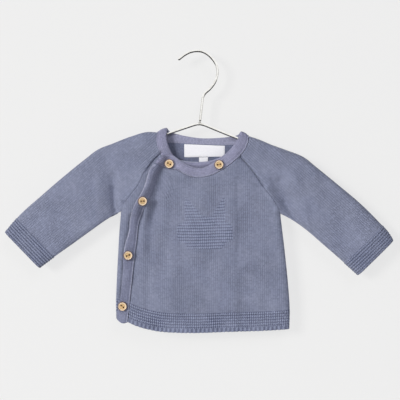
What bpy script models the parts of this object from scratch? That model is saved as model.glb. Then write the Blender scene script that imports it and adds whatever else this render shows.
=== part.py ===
"""A baby's wrap cardigan in fine knit, buttoned over to one side, on a plain wire hanger.

The pieces are those that a knitter joins: back, under front, over front, two raglan sleeves, one neckband,
a front band, five buttons, a woven label and its size tag. The hanger is a pair of arms and a hook.

Frame: +Z up, the front faces -Y, +X to the right of someone who looks at the front. The origin is where
the hook bears on its rail, at the inside of the hook's crown. Every size below is in millimetres, and each
outline is a short table of x and z. The depth, y, comes from one rule: each side of the garment stands off
the hanger's plane by its own depth, and rounds down to that plane along the side seams, the underarm
seams and the sleeves' top folds. A wall is that middle surface, moved out and in by half its thickness.
"""

import math
from collections import namedtuple

import bmesh
import bpy
import numpy as np
from mathutils import Matrix

MM = 0.001

# Cloth: walls, gaps and knitted ridges.
WALL = 1.8
BAND_WALL = 2.0
SEAM_GAP = 0.3
RIDGE_HEIGHT = 0.55
HEM_BAND = 25.0
CUFF_BAND = 24.0
BAND_RIDGES = 7

# How far each layer's middle stands off the hanger's plane.
BACK_DEPTH = 4.1
UNDER_DEPTH = 4.1
OVER_DEPTH = 6.8
OVER_DEPTH_ALONE = 5.2
LAP_EDGE_X = 47.0
LAP_STEP = 12.0
EDGE_DROOP = 1.9
SLEEVE_FULLNESS = 0.9
FULLNESS_FROM_X = 108.0
FULLNESS_OVER = 45.0

# The rounding along a fold or a closing seam, as distances in from it.
ROUND_RADIUS = 9.0
ROUND_STEPS = 3
ROUNDING = [
    ROUND_RADIUS * (1 - math.cos(math.radians(90 * k / ROUND_STEPS)))
    for k in range(ROUND_STEPS + 1)
]
BELOW_HEM = 40.0
ON_LINE = 0.2

# Hanger: one round wire for the hook and its stem, one for the arms.
WIRE_RADIUS = 1.7

# Buttons: turned wood with a rim and two holes.
BUTTON_RADIUS = 6.0
BUTTON_HEIGHT = 3.0
BUTTON_RIM = 1.3
BUTTON_DISH = 0.6
BUTTON_ROUND = 0.7
HOLE_RADIUS = 0.85
HOLE_SPACING = 3.4
BUTTON_SIDES = 20

# Woven label and size tag, on the inside of the back below the neckband.
TAPE_THICKNESS = 0.5


def table(columns, *rows):
    """Rows with named columns."""
    row_type = namedtuple("Row", columns)
    return [row_type(*row) for row in rows]


# Side seams from hem to armpit, then the underarm seams to the cuffs, and the sleeves' top folds.
SIDE_LEFT = table("x z", (-104.3, -345.0), (-104.8, -333.0), (-104.0, -300.0), (-102.3, -267.0),
                  (-100.4, -234.0), (-98.0, -206.0))
UNDERARM_LEFT = table("x z", (-98.0, -206.0), (-115.0, -215.5), (-138.0, -231.5), (-158.0, -246.0),
                      (-185.5, -265.5), (-205.0, -280.0))
FOLD_LEFT = table("x z", (-249.0, -234.5), (-230.0, -212.5), (-201.5, -187.0), (-172.5, -162.0),
                  (-144.0, -139.0), (-128.0, -127.0), (-110.5, -120.0), (-86.0, -110.5),
                  (-64.0, -104.5), (-51.5, -105.0))
SIDE_RIGHT = table("x z", (119.5, -359.5), (120.0, -332.5), (118.0, -302.5), (114.0, -263.0),
                   (107.5, -209.0))
UNDERARM_RIGHT = table("x z", (107.5, -209.0), (122.0, -216.5), (141.5, -230.0), (162.5, -248.0),
                       (185.5, -268.0), (209.5, -289.5))
FOLD_RIGHT = table("x z", (254.5, -245.0), (247.0, -233.5), (236.0, -221.5), (213.5, -199.0),
                   (184.0, -174.0), (154.5, -150.0), (138.0, -137.0), (117.0, -128.5), (95.0, -120.5),
                   (79.5, -114.0), (67.0, -110.0))
# Where each armpit lies across from the fold, as a distance along the fold from the shoulder.
FOLD_TO_ARMPIT = 92.0

# Raglan seams, from armpit to neck.
RAGLAN_LEFT_FRONT = table("x z", (-98.0, -206.0), (-95.0, -198.0), (-87.5, -187.5), (-75.0, -171.0),
                          (-68.5, -157.0), (-58.0, -142.5), (-47.5, -131.5))
RAGLAN_RIGHT_FRONT = table("x z", (107.5, -209.0), (104.5, -201.0), (95.0, -186.0), (82.0, -170.0),
                           (72.5, -155.0), (64.5, -145.5), (55.5, -135.0))
RAGLAN_LEFT_BACK = table("x z", (-98.0, -206.0), (-86.0, -184.5), (-70.0, -158.5), (-56.0, -135.0),
                         (-43.5, -116.0))
RAGLAN_RIGHT_BACK = table("x z", (107.5, -209.0), (95.0, -188.0), (79.5, -162.0), (67.0, -138.5),
                          (58.0, -118.5))

# Hems, from left to right.
OVER_HEM = table("x z", (-89.3, -350.0), (-79.5, -354.5), (-68.5, -358.0), (-50.0, -362.0),
                 (-31.0, -363.5), (-9.0, -364.0), (43.0, -362.5), (82.0, -361.5), (119.5, -359.5))
UNDER_HEM = table("x z", (-104.3, -345.0), (-79.5, -352.0), (-50.0, -359.5), (-9.0, -361.5),
                  (47.0, -360.0))
BACK_HEM = table("x z", (-104.3, -345.0), (-79.5, -352.5), (-50.0, -359.5), (-9.0, -362.0),
                 (43.0, -361.0), (82.0, -360.0), (119.5, -359.5))

# The neckband is one strip. Each row is a station: the seam below it and its free edge above.
NECKBAND_OVER = table(
    "seam_x seam_z edge_x edge_z",
    (-53.3, -144.0, -44.2, -134.7),
    (-43.0, -149.2, -37.1, -133.0),
    (-34.0, -151.6, -31.0, -134.4),
    (-25.4, -153.6, -24.5, -138.6),
    (-17.0, -158.2, -16.0, -144.3),
    (-7.8, -162.0, -7.2, -148.7),
    (2.6, -163.0, 3.2, -150.9),
    (13.3, -161.7, 11.1, -149.4),
    (24.0, -157.8, 18.2, -145.3),
    (34.5, -152.0, 26.5, -139.8),
    (45.0, -144.6, 36.6, -132.3),
    (55.5, -135.0, 45.8, -123.0),
    (62.8, -126.0, 51.8, -114.5),
    (66.6, -116.5, 55.2, -108.5),
    (67.0, -110.0, 56.2, -103.6),
)
NECKBAND_BACK = table(
    "seam_x seam_z edge_x edge_z",
    (67.0, -110.0, 56.2, -103.6),
    (64.5, -115.5, 54.5, -106.3),
    (58.0, -118.5, 50.5, -108.3),
    (45.0, -120.3, 42.0, -109.8),
    (27.0, -120.2, 27.0, -111.2),
    (5.0, -119.3, 5.0, -111.5),
    (-12.5, -118.7, -12.0, -109.3),
    (-28.5, -117.6, -25.5, -106.2),
    (-43.5, -116.0, -34.5, -103.2),
    (-49.3, -111.0, -37.2, -100.9),
    (-51.5, -105.0, -38.4, -99.1),
)
NECKBAND_UNDER = table(
    "seam_x seam_z edge_x edge_z",
    (-51.5, -105.0, -38.4, -99.1),
    (-52.5, -111.5, -39.3, -107.1),
    (-51.3, -122.0, -37.9, -118.0),
    (-47.5, -131.5, -34.8, -126.8),
    (-42.2, -140.0, -30.0, -134.6),
    (-33.8, -148.6, -23.6, -139.2),
    (-22.0, -154.4, -15.6, -141.4),
    (-9.0, -157.0, -6.5, -142.2),
    (4.0, -157.6, 4.0, -142.5),
    (17.0, -156.0, 15.0, -141.6),
    (30.0, -152.5, 25.5, -138.6),
    (41.5, -146.6, 33.8, -134.9),
)

# The front band, from hem to neckband: its free edge, and its seam with the over front.
BAND_EDGE = table("x z", (-104.5, -345.0), (-99.8, -320.0), (-95.7, -280.5), (-93.2, -250.5),
                  (-88.3, -233.5), (-85.4, -213.5), (-82.4, -204.0), (-78.8, -195.0), (-74.0, -187.0),
                  (-68.8, -176.5), (-64.4, -163.0), (-60.8, -152.5), (-53.3, -144.0))
BAND_SEAM = table("x z", (-89.3, -350.0), (-87.4, -324.5), (-83.2, -275.5), (-79.2, -244.0),
                  (-75.5, -219.0), (-71.0, -209.0), (-65.0, -198.0), (-57.8, -183.0), (-53.0, -169.0),
                  (-49.6, -157.5), (-43.0, -149.2))
BAND_CORNER_DROP = 3.6

# Soft folds in the over front: a ridge along each line, its height towards the viewer and its half width.
OVER_FOLDS = table(
    "path height width",
    (((-59.0, -151.0), (-61.5, -163.0), (-66.5, -176.0), (-73.0, -190.0), (-80.0, -207.0)), 2.6, 5.0),
    (((-80.0, -207.0), (-84.5, -230.0), (-88.0, -262.0)), 1.0, 5.0),
    (((-40.0, -168.0), (-43.0, -190.0), (-50.0, -214.0)), 1.3, 8.0),
    (((-62.0, -204.0), (-68.0, -216.0), (-71.0, -232.0)), 0.9, 3.5),
    (((40.0, -166.0), (42.5, -205.0), (41.0, -260.0)), 0.5, 7.0),
)

# Hanger wire: the hook from its tip to its stem, and the arms from end to end.
HOOK = table("x z", (-24.5, -10.0), (-17.2, -4.2), (-9.0, 0.2), (0.0, 1.7), (6.5, 1.0), (14.2, -3.0),
             (21.2, -10.0), (25.3, -17.0), (26.7, -24.5), (25.7, -32.5), (23.2, -39.0), (17.0, -47.5),
             (9.2, -55.0), (7.4, -59.5), (3.9, -90.1))
ARMS = table("x z", (-126.4, -130.6), (-96.0, -122.2), (-66.0, -114.2), (-39.0, -106.2), (3.4, -92.0),
             (54.0, -112.5), (84.0, -122.5), (112.0, -132.2), (136.3, -140.3))
ARMS_CORNER = 4
HOOK_CORNER = 13

# The label's and the size tag's corners.
LABEL = table("x z", (-16.6, -119.3), (36.4, -121.6), (35.9, -135.5), (-16.6, -136.4))
SIZE_TAG = table("x z", (2.7, -136.5), (14.4, -136.3), (14.2, -151.0), (2.6, -151.2))

# Button centres and the turn of each pair of holes, in degrees.
BUTTONS = table("x z turn", (-35.4, -145.5, -28.0), (28.1, -146.5, 14.0), (-71.0, -193.2, 3.0),
                (-89.4, -263.5, 20.0), (-96.1, -329.3, -36.0))


def lengths(line):
    """The distance along a polyline to each of its points."""
    return np.concatenate([[0.0], np.cumsum(np.linalg.norm(np.diff(line, axis=0), axis=1))])


def along(line, distances):
    """The points of a polyline at these distances along it."""
    done = lengths(line)
    return np.stack([np.interp(distances, done, line[:, k]) for k in range(line.shape[1])], axis=1)


def smooth(points, steps=8):
    """A smooth curve through the points, as a polyline with that many steps a span."""
    points = np.asarray(points, float)
    spans = np.linalg.norm(np.diff(points, axis=0), axis=1)[:, None]
    slopes = np.diff(points, axis=0) / spans
    inner = (spans[1:] * slopes[:-1] + spans[:-1] * slopes[1:]) / (spans[:-1] + spans[1:])
    tangents = np.vstack([slopes[:1], inner, slopes[-1:]])
    share = np.linspace(0, 1, steps, endpoint=False)[:, None]
    parts = []
    for k, span in enumerate(spans):
        parts.append(
            (2 * share**3 - 3 * share**2 + 1) * points[k]
            + (share**3 - 2 * share**2 + share) * span * tangents[k]
            + (3 * share**2 - 2 * share**3) * points[k + 1]
            + (share**3 - share**2) * span * tangents[k + 1]
        )
    return np.vstack([*parts, points[-1:]])


def curve(rows, steps=8):
    """A smooth x, z curve through a table's rows."""
    return smooth([(row.x, row.z) for row in rows], steps)


def unit(vectors):
    """The vectors at length 1."""
    return vectors / np.maximum(np.linalg.norm(vectors, axis=-1, keepdims=True), 1e-12)


def ramp(value):
    """0 below 0, 1 above 1, and smooth between."""
    share = np.clip(value, 0, 1)
    return share * share * (3 - 2 * share)


def nearest(points, line):
    """Each point's distance to a polyline, and the unit direction from the point to it.

    On the line itself the distance is 0 and the direction is the line's left-hand side, which is outside
    the garment, because every closing line runs clockwise round it.
    """
    start, step = line[:-1], np.diff(line, axis=0)
    offset = points[:, None, :] - start[None]
    share = np.clip((offset * step).sum(-1) / (step * step).sum(-1), 0, 1)
    gap = start[None] + share[..., None] * step - points[:, None, :]
    distance = np.linalg.norm(gap, axis=-1)
    best = distance.argmin(axis=1)
    index = np.arange(len(points))
    found, towards = distance[index, best], gap[index, best]
    sides = unit(np.stack([-step[:, 1], step[:, 0]], axis=1))
    at = share[index, best]
    other = np.clip(best + np.where(at > 0.5, 1, -1), 0, len(step) - 1)
    at_point = (at < 1e-6) | (at > 1 - 1e-6)
    outside = unit(sides[best] + np.where(at_point, 1.0, 0.0)[:, None] * sides[other])
    on_line = found < ON_LINE
    return np.where(on_line, 0.0, found), np.where(on_line[:, None], outside, unit(towards))


class Face:
    """One side of the garment: how far its middle surface stands off the hanger's plane."""

    def __init__(self, side, depth, closings):
        """side is -1 for the front and +1 for the back, and closings are the lines where y is 0."""
        self.side = side
        self.depth = depth
        self.closings = closings

    def place(self, grid):
        """Middle points and outward normals, both x, y, z, over a grid of x, z points."""
        points = grid.reshape(-1, 2)
        depth = self.depth(points)
        nudge = 0.05
        slope = np.stack(
            [
                (self.depth(points + step) - self.depth(points - step)) / (2 * nudge)
                for step in ((nudge, 0.0), (0.0, nudge))
            ],
            axis=1,
        )
        share = np.ones(len(points))
        outward = np.zeros((len(points), 2))
        for line in self.closings:
            distance, towards = nearest(points, line)
            cosine = 1 - np.clip(distance / ROUND_RADIUS, 0, 1)
            share *= np.sqrt(1 - cosine**2)
            outward += towards * (cosine * depth / ROUND_RADIUS)[:, None]
        outward -= slope * (share**2)[:, None]
        middle = np.stack([points[:, 0], self.side * depth * share, points[:, 1]], axis=1)
        normal = unit(np.stack([outward[:, 0], self.side * share, outward[:, 1]], axis=1))
        return middle.reshape(*grid.shape[:-1], 3), normal.reshape(*grid.shape[:-1], 3)


def fullness(points):
    """How much further the sleeves stand off than the body beside them."""
    return SLEEVE_FULLNESS * ramp((np.abs(points[:, 0]) - FULLNESS_FROM_X) / FULLNESS_OVER)


def back_depth(points):
    """Depth of the back and of the sleeves' backs."""
    return BACK_DEPTH + fullness(points)


def under_depth(points):
    """Depth of the under front, and of the left sleeve's front beside it."""
    return UNDER_DEPTH + fullness(points)


def over_depth(points):
    """Depth of the over front: down past the under front's edge, down at its own edge, and soft folds."""
    past_lap = ramp((points[:, 0] - LAP_EDGE_X - 1.0) / LAP_STEP)
    depth = OVER_DEPTH + (OVER_DEPTH_ALONE - OVER_DEPTH) * past_lap + fullness(points)
    from_side, _ = nearest(points, closing_low_left)
    cosine = 1 - np.clip(from_side / ROUND_RADIUS, 0, 1)
    depth = depth - EDGE_DROOP * cosine**2
    for fold in OVER_FOLDS:
        distance, _ = nearest(points, np.array(fold.path))
        depth = depth + fold.height * np.exp(-((distance / fold.width) ** 2))
    return depth


def below(line):
    """A side seam's line carried on below the hem, so that the hem rounds as the side does."""
    return np.vstack([line[:1] - (0.0, BELOW_HEM), line])


def past_end(line):
    """A line carried straight on past its last point."""
    return np.vstack([line, line[-1] + unit(line[-1] - line[-2]) * BELOW_HEM])


side_left, side_right = curve(SIDE_LEFT), curve(SIDE_RIGHT)
underarm_left, underarm_right = curve(UNDERARM_LEFT), curve(UNDERARM_RIGHT)
fold_left, fold_right = curve(FOLD_LEFT)[::-1], curve(FOLD_RIGHT)[::-1]
crest_left = (NECKBAND_UNDER[0].edge_x, NECKBAND_UNDER[0].edge_z)
crest_right = (NECKBAND_BACK[0].edge_x, NECKBAND_BACK[0].edge_z)

# Closing lines, clockwise round the garment.
closing_low_left = np.vstack([below(side_left), past_end(underarm_left)[1:]])
closing_low_right = np.vstack([below(side_right), past_end(underarm_right)[1:]])[::-1]
closing_top_left = np.vstack([crest_left, past_end(fold_left)])[::-1]
closing_top_right = np.vstack([crest_right, past_end(fold_right)])
LEFT = [closing_low_left, closing_top_left]
RIGHT = [closing_low_right, closing_top_right]

back_face = Face(1, back_depth, LEFT + RIGHT)
under_face = Face(-1, under_depth, LEFT)
over_face = Face(-1, over_depth, RIGHT)


def inset(grid, edge):
    """Half of the seam gap, as x, z moves of a grid's edge points square to the edge and into the piece."""
    rows, columns = grid.shape[:2]
    edge_at = {"bottom": (0, slice(None)), "top": (rows - 1, slice(None)),
               "left": (slice(None), 0), "right": (slice(None), columns - 1)}[edge]
    next_at = {"bottom": (1, slice(None)), "top": (rows - 2, slice(None)),
               "left": (slice(None), 1), "right": (slice(None), columns - 2)}[edge]
    line = grid[edge_at]
    tangent = unit(np.gradient(line, axis=0))
    square = np.stack([-tangent[:, 1], tangent[:, 0]], axis=1)
    inward = np.sign((square * (grid[next_at] - line)).sum())
    return edge_at, inward * square * SEAM_GAP / 2


def wall_mesh(name, middle, normal, thickness, relief, inner_rows):
    """A closed wall round a middle surface. relief lifts outer points; the inside has only inner_rows."""
    outer = middle + normal * (thickness / 2 + relief)[..., None]
    inner = (middle - normal * thickness / 2)[inner_rows]
    rows, columns = outer.shape[:2]
    shape = bmesh.new()
    outside = [[shape.verts.new(point * MM) for point in row] for row in outer]
    inside = [[shape.verts.new(point * MM) for point in row] for row in inner]
    for grid in (outside, inside):
        for low, high in zip(grid[:-1], grid[1:]):
            for k in range(columns - 1):
                shape.faces.new((low[k], low[k + 1], high[k + 1], high[k]))
    for k in range(columns - 1):
        shape.faces.new((outside[0][k], outside[0][k + 1], inside[0][k + 1], inside[0][k]))
        shape.faces.new((outside[-1][k], outside[-1][k + 1], inside[-1][k + 1], inside[-1][k]))
    for k in (0, columns - 1):
        for j, (first, last) in enumerate(zip(inner_rows[:-1], inner_rows[1:])):
            halfway = (first + last) // 2
            for i in range(first, halfway):
                shape.faces.new((outside[i][k], outside[i + 1][k], inside[j][k]))
            shape.faces.new((outside[halfway][k], inside[j + 1][k], inside[j][k]))
            for i in range(halfway, last):
                shape.faces.new((outside[i][k], outside[i + 1][k], inside[j + 1][k]))
    bmesh.ops.recalc_face_normals(shape, faces=shape.faces)
    mesh = bpy.data.meshes.new(name)
    shape.to_mesh(mesh)
    shape.free()
    return mesh


def add(name, mesh, material, parent):
    """An object for a mesh, smooth but for its sharp edges."""
    mesh.shade_smooth()
    mesh.set_sharp_from_angle(angle=math.radians(40))
    mesh.materials.append(material)
    thing = bpy.data.objects.new(name, mesh)
    bpy.context.scene.collection.objects.link(thing)
    thing.parent = parent
    return thing


def finish(name, colour, roughness, metallic=0.0):
    """A plain surface finish."""
    material = bpy.data.materials.new(name)
    material.use_nodes = True
    shader = material.node_tree.nodes["Principled BSDF"]
    shader.inputs["Base Color"].default_value = (*colour, 1.0)
    shader.inputs["Roughness"].default_value = roughness
    shader.inputs["Metallic"].default_value = metallic
    material.diffuse_color = (*colour, 1.0)
    return material


def cloth(name, grid, face, edges, material, parent, relief=None, inner_rows=None, thickness=WALL):
    """A cloth piece on one face. edges says of each side whether it is a seam, closing or free."""
    middle, normal = face.place(grid)
    for edge, kind in edges.items():
        edge_at, move = inset(grid, edge)
        if kind == "seam":
            middle[edge_at][:, [0, 2]] += move
        if kind == "closing":
            middle[edge_at][:, 1] += face.side * SEAM_GAP / 2
    if relief is None:
        relief = np.zeros(grid.shape[:2])
    if inner_rows is None:
        inner_rows = list(range(grid.shape[0]))
    mesh = wall_mesh(name, middle, normal, thickness, relief, inner_rows)
    return add(name, mesh, material, parent)


def patch(bottom, top, left, right):
    """A Coons patch: bottom and top have a point a column, left and right a point a row, all x, z."""
    up = np.linspace(0, 1, len(left))[:, None, None]
    across = np.linspace(0, 1, len(bottom))[None, :, None]
    straight_left = (1 - up[:, 0]) * left[0] + up[:, 0] * left[-1]
    straight_right = (1 - up[:, 0]) * right[0] + up[:, 0] * right[-1]
    return ((1 - up) * bottom[None] + up * top[None]
            + (1 - across) * (left - straight_left)[:, None]
            + across * (right - straight_right)[:, None])


PATCH_ROWS = 60
BODY_ROWS = 18
ROWS_CLOSER_UP = 0.25


def even(line, count):
    """That many points, evenly spaced along a line."""
    return along(line, np.linspace(0, lengths(line)[-1], count))


def knitted_rows(columns_up):
    """Panel rows from a dense patch: the hem band's ridges, then rows to the top, closer towards it."""
    band = np.linspace(0, HEM_BAND, 2 * BAND_RIDGES + 1)
    share = np.linspace(0, 1, BODY_ROWS + 1)[1:]
    share = share + ROWS_CLOSER_UP * share * (1 - share)
    rows = []
    for k in range(columns_up.shape[1]):
        line = columns_up[:, k]
        rest = HEM_BAND + (lengths(line)[-1] - HEM_BAND) * share
        rows.append(along(line, np.concatenate([band, rest])))
    return np.stack(rows, axis=1)


def band_relief(rows, columns, first=0):
    """Lifts every other row of a garter band that starts at a row."""
    relief = np.zeros((rows, columns))
    relief[first + 1:first + 2 * BAND_RIDGES:2] = RIDGE_HEIGHT
    return relief


def plain_inside(rows, first=0):
    """The inner rows of a wall: none of the garter band's, and all the others."""
    band = set(range(first + 1, first + 2 * BAND_RIDGES)) - {first + BAND_RIDGES}
    return [row for row in range(rows) if row not in band]


RAGLAN_PLAIN_STEPS = 5


def raglan_points(rows):
    """A raglan seam's shared points, from armpit to neck, with the rounding's steps at the armpit."""
    line = curve(rows)
    total = lengths(line)[-1]
    rest = np.linspace(ROUND_RADIUS, total, RAGLAN_PLAIN_STEPS + 1)[1:]
    return along(line, np.concatenate([ROUNDING, rest]))


def hem_distances(raglan, share):
    """Distances in from the side seam along the hem for a raglan seam's columns."""
    done = lengths(raglan)
    stretch = (share - ROUND_RADIUS) / (done[-1] - ROUND_RADIUS)
    return np.where(done <= ROUND_RADIUS, done, ROUND_RADIUS + (done - ROUND_RADIUS) * stretch)


RAGLAN_HEM_SHARE = 58.0
STATION_STEPS = 6
HALF_STATION = STATION_STEPS // 2


def station_lines(rows):
    """The seam and edge curves of a neckband table, with STATION_STEPS steps between stations."""
    seam = smooth([(row.seam_x, row.seam_z) for row in rows], STATION_STEPS)
    edge = smooth([(row.edge_x, row.edge_z) for row in rows], STATION_STEPS)
    return seam, edge


over_seam, over_edge = station_lines(NECKBAND_OVER)
back_seam, back_edge = station_lines(NECKBAND_BACK)
under_seam, under_edge = station_lines(NECKBAND_UNDER)

# Stations where the neckband's seam meets the front band and the raglan seams.
OVER_BAND_STATION, OVER_RAGLAN_STATION = 1, 11
UNDER_RAGLAN_STATION = 3
BACK_RIGHT_STATION, BACK_LEFT_STATION = 2, 8


def neck_points(seam, first, last):
    """The neckband's own seam points at every half station from first to last."""
    step = HALF_STATION if last > first else -HALF_STATION
    return seam[np.arange(first * STATION_STEPS, last * STATION_STEPS + step, step)]


raglans = {
    "left_front": raglan_points(RAGLAN_LEFT_FRONT),
    "right_front": raglan_points(RAGLAN_RIGHT_FRONT),
    "left_back": raglan_points(RAGLAN_LEFT_BACK),
    "right_back": raglan_points(RAGLAN_RIGHT_BACK),
}


def over_front_grid():
    """The over front from its band's seam to the right side seam."""
    raglan = raglans["right_front"][::-1]
    neck = neck_points(over_seam, OVER_BAND_STATION, OVER_RAGLAN_STATION)
    top = np.vstack([neck, raglan[1:]])
    hem = curve(OVER_HEM)
    from_side = lengths(hem)[-1] - hem_distances(raglans["right_front"], RAGLAN_HEM_SHARE)[::-1]
    plain = np.linspace(0, from_side[0], len(neck))
    bottom = along(hem, np.concatenate([plain, from_side[1:]]))
    return knitted_rows(patch(bottom, top, even(curve(BAND_SEAM), PATCH_ROWS),
                              even(side_right, PATCH_ROWS)))


def under_front_grid():
    """The under front from the left side seam to its free edge, hidden under the over front."""
    raglan = raglans["left_front"]
    neck = neck_points(under_seam, UNDER_RAGLAN_STATION, len(NECKBAND_UNDER) - 1)
    top = np.vstack([raglan, neck[1:]])
    hem = curve(UNDER_HEM)
    from_side = hem_distances(raglan, RAGLAN_HEM_SHARE)
    plain = np.linspace(from_side[-1], lengths(hem)[-1], len(neck))
    bottom = along(hem, np.concatenate([from_side, plain[1:]]))
    free_edge = np.linspace(bottom[-1], top[-1], PATCH_ROWS)
    return knitted_rows(patch(bottom, top, even(side_left, PATCH_ROWS), free_edge))


def back_grid():
    """The back from side seam to side seam."""
    left, right = raglans["left_back"], raglans["right_back"][::-1]
    neck = neck_points(back_seam, BACK_LEFT_STATION, BACK_RIGHT_STATION)
    top = np.vstack([left, neck[1:-1], right])
    hem = curve(BACK_HEM)
    from_left = hem_distances(left, RAGLAN_HEM_SHARE)
    from_right = lengths(hem)[-1] - hem_distances(raglans["right_back"], RAGLAN_HEM_SHARE)[::-1]
    plain = np.linspace(from_left[-1], from_right[0], len(neck))
    bottom = along(hem, np.concatenate([from_left, plain[1:-1], from_right]))
    return knitted_rows(patch(bottom, top, even(side_left, PATCH_ROWS), even(side_right, PATCH_ROWS)))


SLEEVE_MIDDLE_STEPS = 3
SLEEVE_LONG_STEPS = 7
# How the fold's stations spread from the armpit's place back to the neck, one for each raglan point.
FOLD_SHARES = (1.0, 0.95, 0.89, 0.81, 0.67, 0.52, 0.36, 0.19, 0.0)
NECK_BOW_FADE = 30.0


def sleeve_lines(raglan, underarm, fold):
    """The sleeve's bottom and top points at each station, from neck to cuff."""
    long_low = np.linspace(0, lengths(underarm)[-1] - CUFF_BAND, SLEEVE_LONG_STEPS + 1)[1:]
    cuff_low = long_low[-1] + np.linspace(0, CUFF_BAND, 2 * BAND_RIDGES + 1)[1:]
    bottom = np.vstack([raglan[::-1], along(underarm, np.concatenate([long_low, cuff_low]))])
    long_top = np.linspace(FOLD_TO_ARMPIT, lengths(fold)[-1] - CUFF_BAND, SLEEVE_LONG_STEPS + 1)[1:]
    cuff_top = long_top[-1] + np.linspace(0, CUFF_BAND, 2 * BAND_RIDGES + 1)[1:]
    raglan_top = FOLD_TO_ARMPIT * np.array(FOLD_SHARES[::-1])
    top = along(fold, np.concatenate([raglan_top, long_top, cuff_top]))
    return bottom, top


def sleeve_shares(width):
    """Where a sleeve half's columns lie across it, from 0 at its seam to 1 at its top fold."""
    rounding = np.array(ROUNDING)
    low = rounding * min(1.0, (width - ROUND_RADIUS) / (2 * ROUND_RADIUS))
    high = width - rounding[::-1] * min(1.0, width / (2 * ROUND_RADIUS))
    middle = np.linspace(low[-1], high[0], SLEEVE_MIDDLE_STEPS + 1)[1:-1]
    return np.concatenate([low, middle, high]) / width


def sleeve_half(bottom, top, neck_seam):
    """One half of a sleeve: rows from neck to cuff, columns from the seam up to the top fold."""
    rows = []
    neck_length = lengths(neck_seam)[-1]
    for low, high, gone in zip(bottom, top, lengths(top)):
        shares = sleeve_shares(np.linalg.norm(high - low))[:, None]
        bow = along(neck_seam, shares[:, 0] * neck_length) - (
            neck_seam[0] + shares * (neck_seam[-1] - neck_seam[0]))
        fade = max(0.0, 1 - gone / NECK_BOW_FADE) ** 2
        rows.append(low + shares * (high - low) + bow * fade)
    return np.stack(rows)


def sleeve(name, front_face, fold, underarm, front_raglan, back_raglan, front_neck, back_neck, material,
           parent):
    """A sleeve: one sheet folded over along its top, its two long edges closing along the underarm."""
    middles, normals = [], []
    for face, raglan, neck_seam in ((front_face, front_raglan, front_neck),
                                    (back_face, back_raglan, back_neck)):
        bottom, top = sleeve_lines(raglan, underarm, fold)
        grid = sleeve_half(bottom, top, neck_seam)
        middle, normal = face.place(grid)
        neck_at, neck_move = inset(grid, "bottom")
        middle[neck_at][:, [0, 2]] += neck_move
        seam_at, seam_move = inset(grid, "left")
        joined = np.arange(len(grid)) < len(raglan)
        middle[seam_at][:, [0, 2]] += np.where(joined[:, None], seam_move, 0.0)
        middle[seam_at][:, 1] += np.where(np.arange(len(grid)) >= len(raglan) - 1,
                                          face.side * SEAM_GAP / 2, 0.0)
        middles.append(middle)
        normals.append(normal)
    front, back = middles
    middle = np.concatenate([front, back[:, ::-1][:, 1:]], axis=1)
    normal = np.concatenate([normals[0], normals[1][:, ::-1][:, 1:]], axis=1)
    rows, columns = middle.shape[:2]
    first = rows - 1 - 2 * BAND_RIDGES
    mesh = wall_mesh(name, middle, normal, WALL, band_relief(rows, columns, first),
                     plain_inside(rows, first))
    return add(name, mesh, material, parent)


BAND_ACROSS = 4
BAND_BULGE = 0.35


def strip(seam, edge, indexes):
    """A band's rows, each across from seam to edge, at these places along both of its lines."""
    at = np.arange(len(seam))
    low = np.stack([np.interp(indexes, at, seam[:, k]) for k in (0, 1)], axis=1)
    high = np.stack([np.interp(indexes, at, edge[:, k]) for k in (0, 1)], axis=1)
    across = np.linspace(0, 1, BAND_ACROSS + 1)[None, :, None]
    return low[:, None] * (1 - across) + high[:, None] * across


def strip_indexes(seam, first_station, last_station):
    """Places along a neckband seam: half stations between two stations, and the sleeves' columns beyond."""
    first, last = first_station * STATION_STEPS, last_station * STATION_STEPS
    parts = [np.arange(first, last + 1, HALF_STATION)]
    before, after = seam[:first + 1][::-1], seam[last:]
    for ending in (before, after):
        if len(ending) > 1:
            done = lengths(ending)
            shares = sleeve_shares(np.linalg.norm(ending[-1] - ending[0]))
            steps = np.interp(shares * done[-1], done, np.arange(len(ending)))[1:]
            parts = [first - steps[::-1], *parts] if ending is before else [*parts, last + steps]
    return np.concatenate(parts)


def neckband_arrays():
    """Middle points and normals of the neckband: over front, right shoulder, back, left, under front."""
    parts = ((over_face, over_seam, over_edge, 0, OVER_RAGLAN_STATION),
             (back_face, back_seam, back_edge, BACK_RIGHT_STATION, BACK_LEFT_STATION),
             (under_face, under_seam, under_edge, UNDER_RAGLAN_STATION, len(NECKBAND_UNDER) - 1))
    middles, normals = [], []
    for face, seam, edge, first_station, last_station in parts:
        grid = strip(seam, edge, strip_indexes(seam, first_station, last_station))
        middle, normal = face.place(grid)
        at, move = inset(grid, "left")
        middle[at][:, [0, 2]] += move
        skip = 1 if middles else 0
        middles.append(middle[skip:])
        normals.append(normal[skip:])
    return np.concatenate(middles), np.concatenate(normals)


def bulge(rows, columns):
    """A tubular band's swell: its middle columns stand out."""
    relief = np.zeros((rows, columns))
    relief[:, 1:-1] = BAND_BULGE
    return relief


def front_band_grid(over_grid):
    """The front band: its seam points are the over front's own, and its edge has as many."""
    seam = over_grid[:, 0]
    edge_line = curve(BAND_EDGE)
    share = lengths(seam) / lengths(seam)[-1]
    edge = along(edge_line, share * lengths(edge_line)[-1])
    across = np.linspace(0, 1, BAND_ACROSS + 1)[None, :, None]
    grid = seam[:, None] * (1 - across) + edge[:, None] * across
    drop = BAND_CORNER_DROP * np.sin(np.pi * across[0, :, 0])
    for row, share_left in ((0, 1.0), (1, 0.75), (2, 0.5), (3, 0.25)):
        grid[row, :, 1] -= drop * share_left
    grid[-1] = even(over_seam[:STATION_STEPS + 1][::-1], BAND_ACROSS + 1)
    return grid


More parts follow.
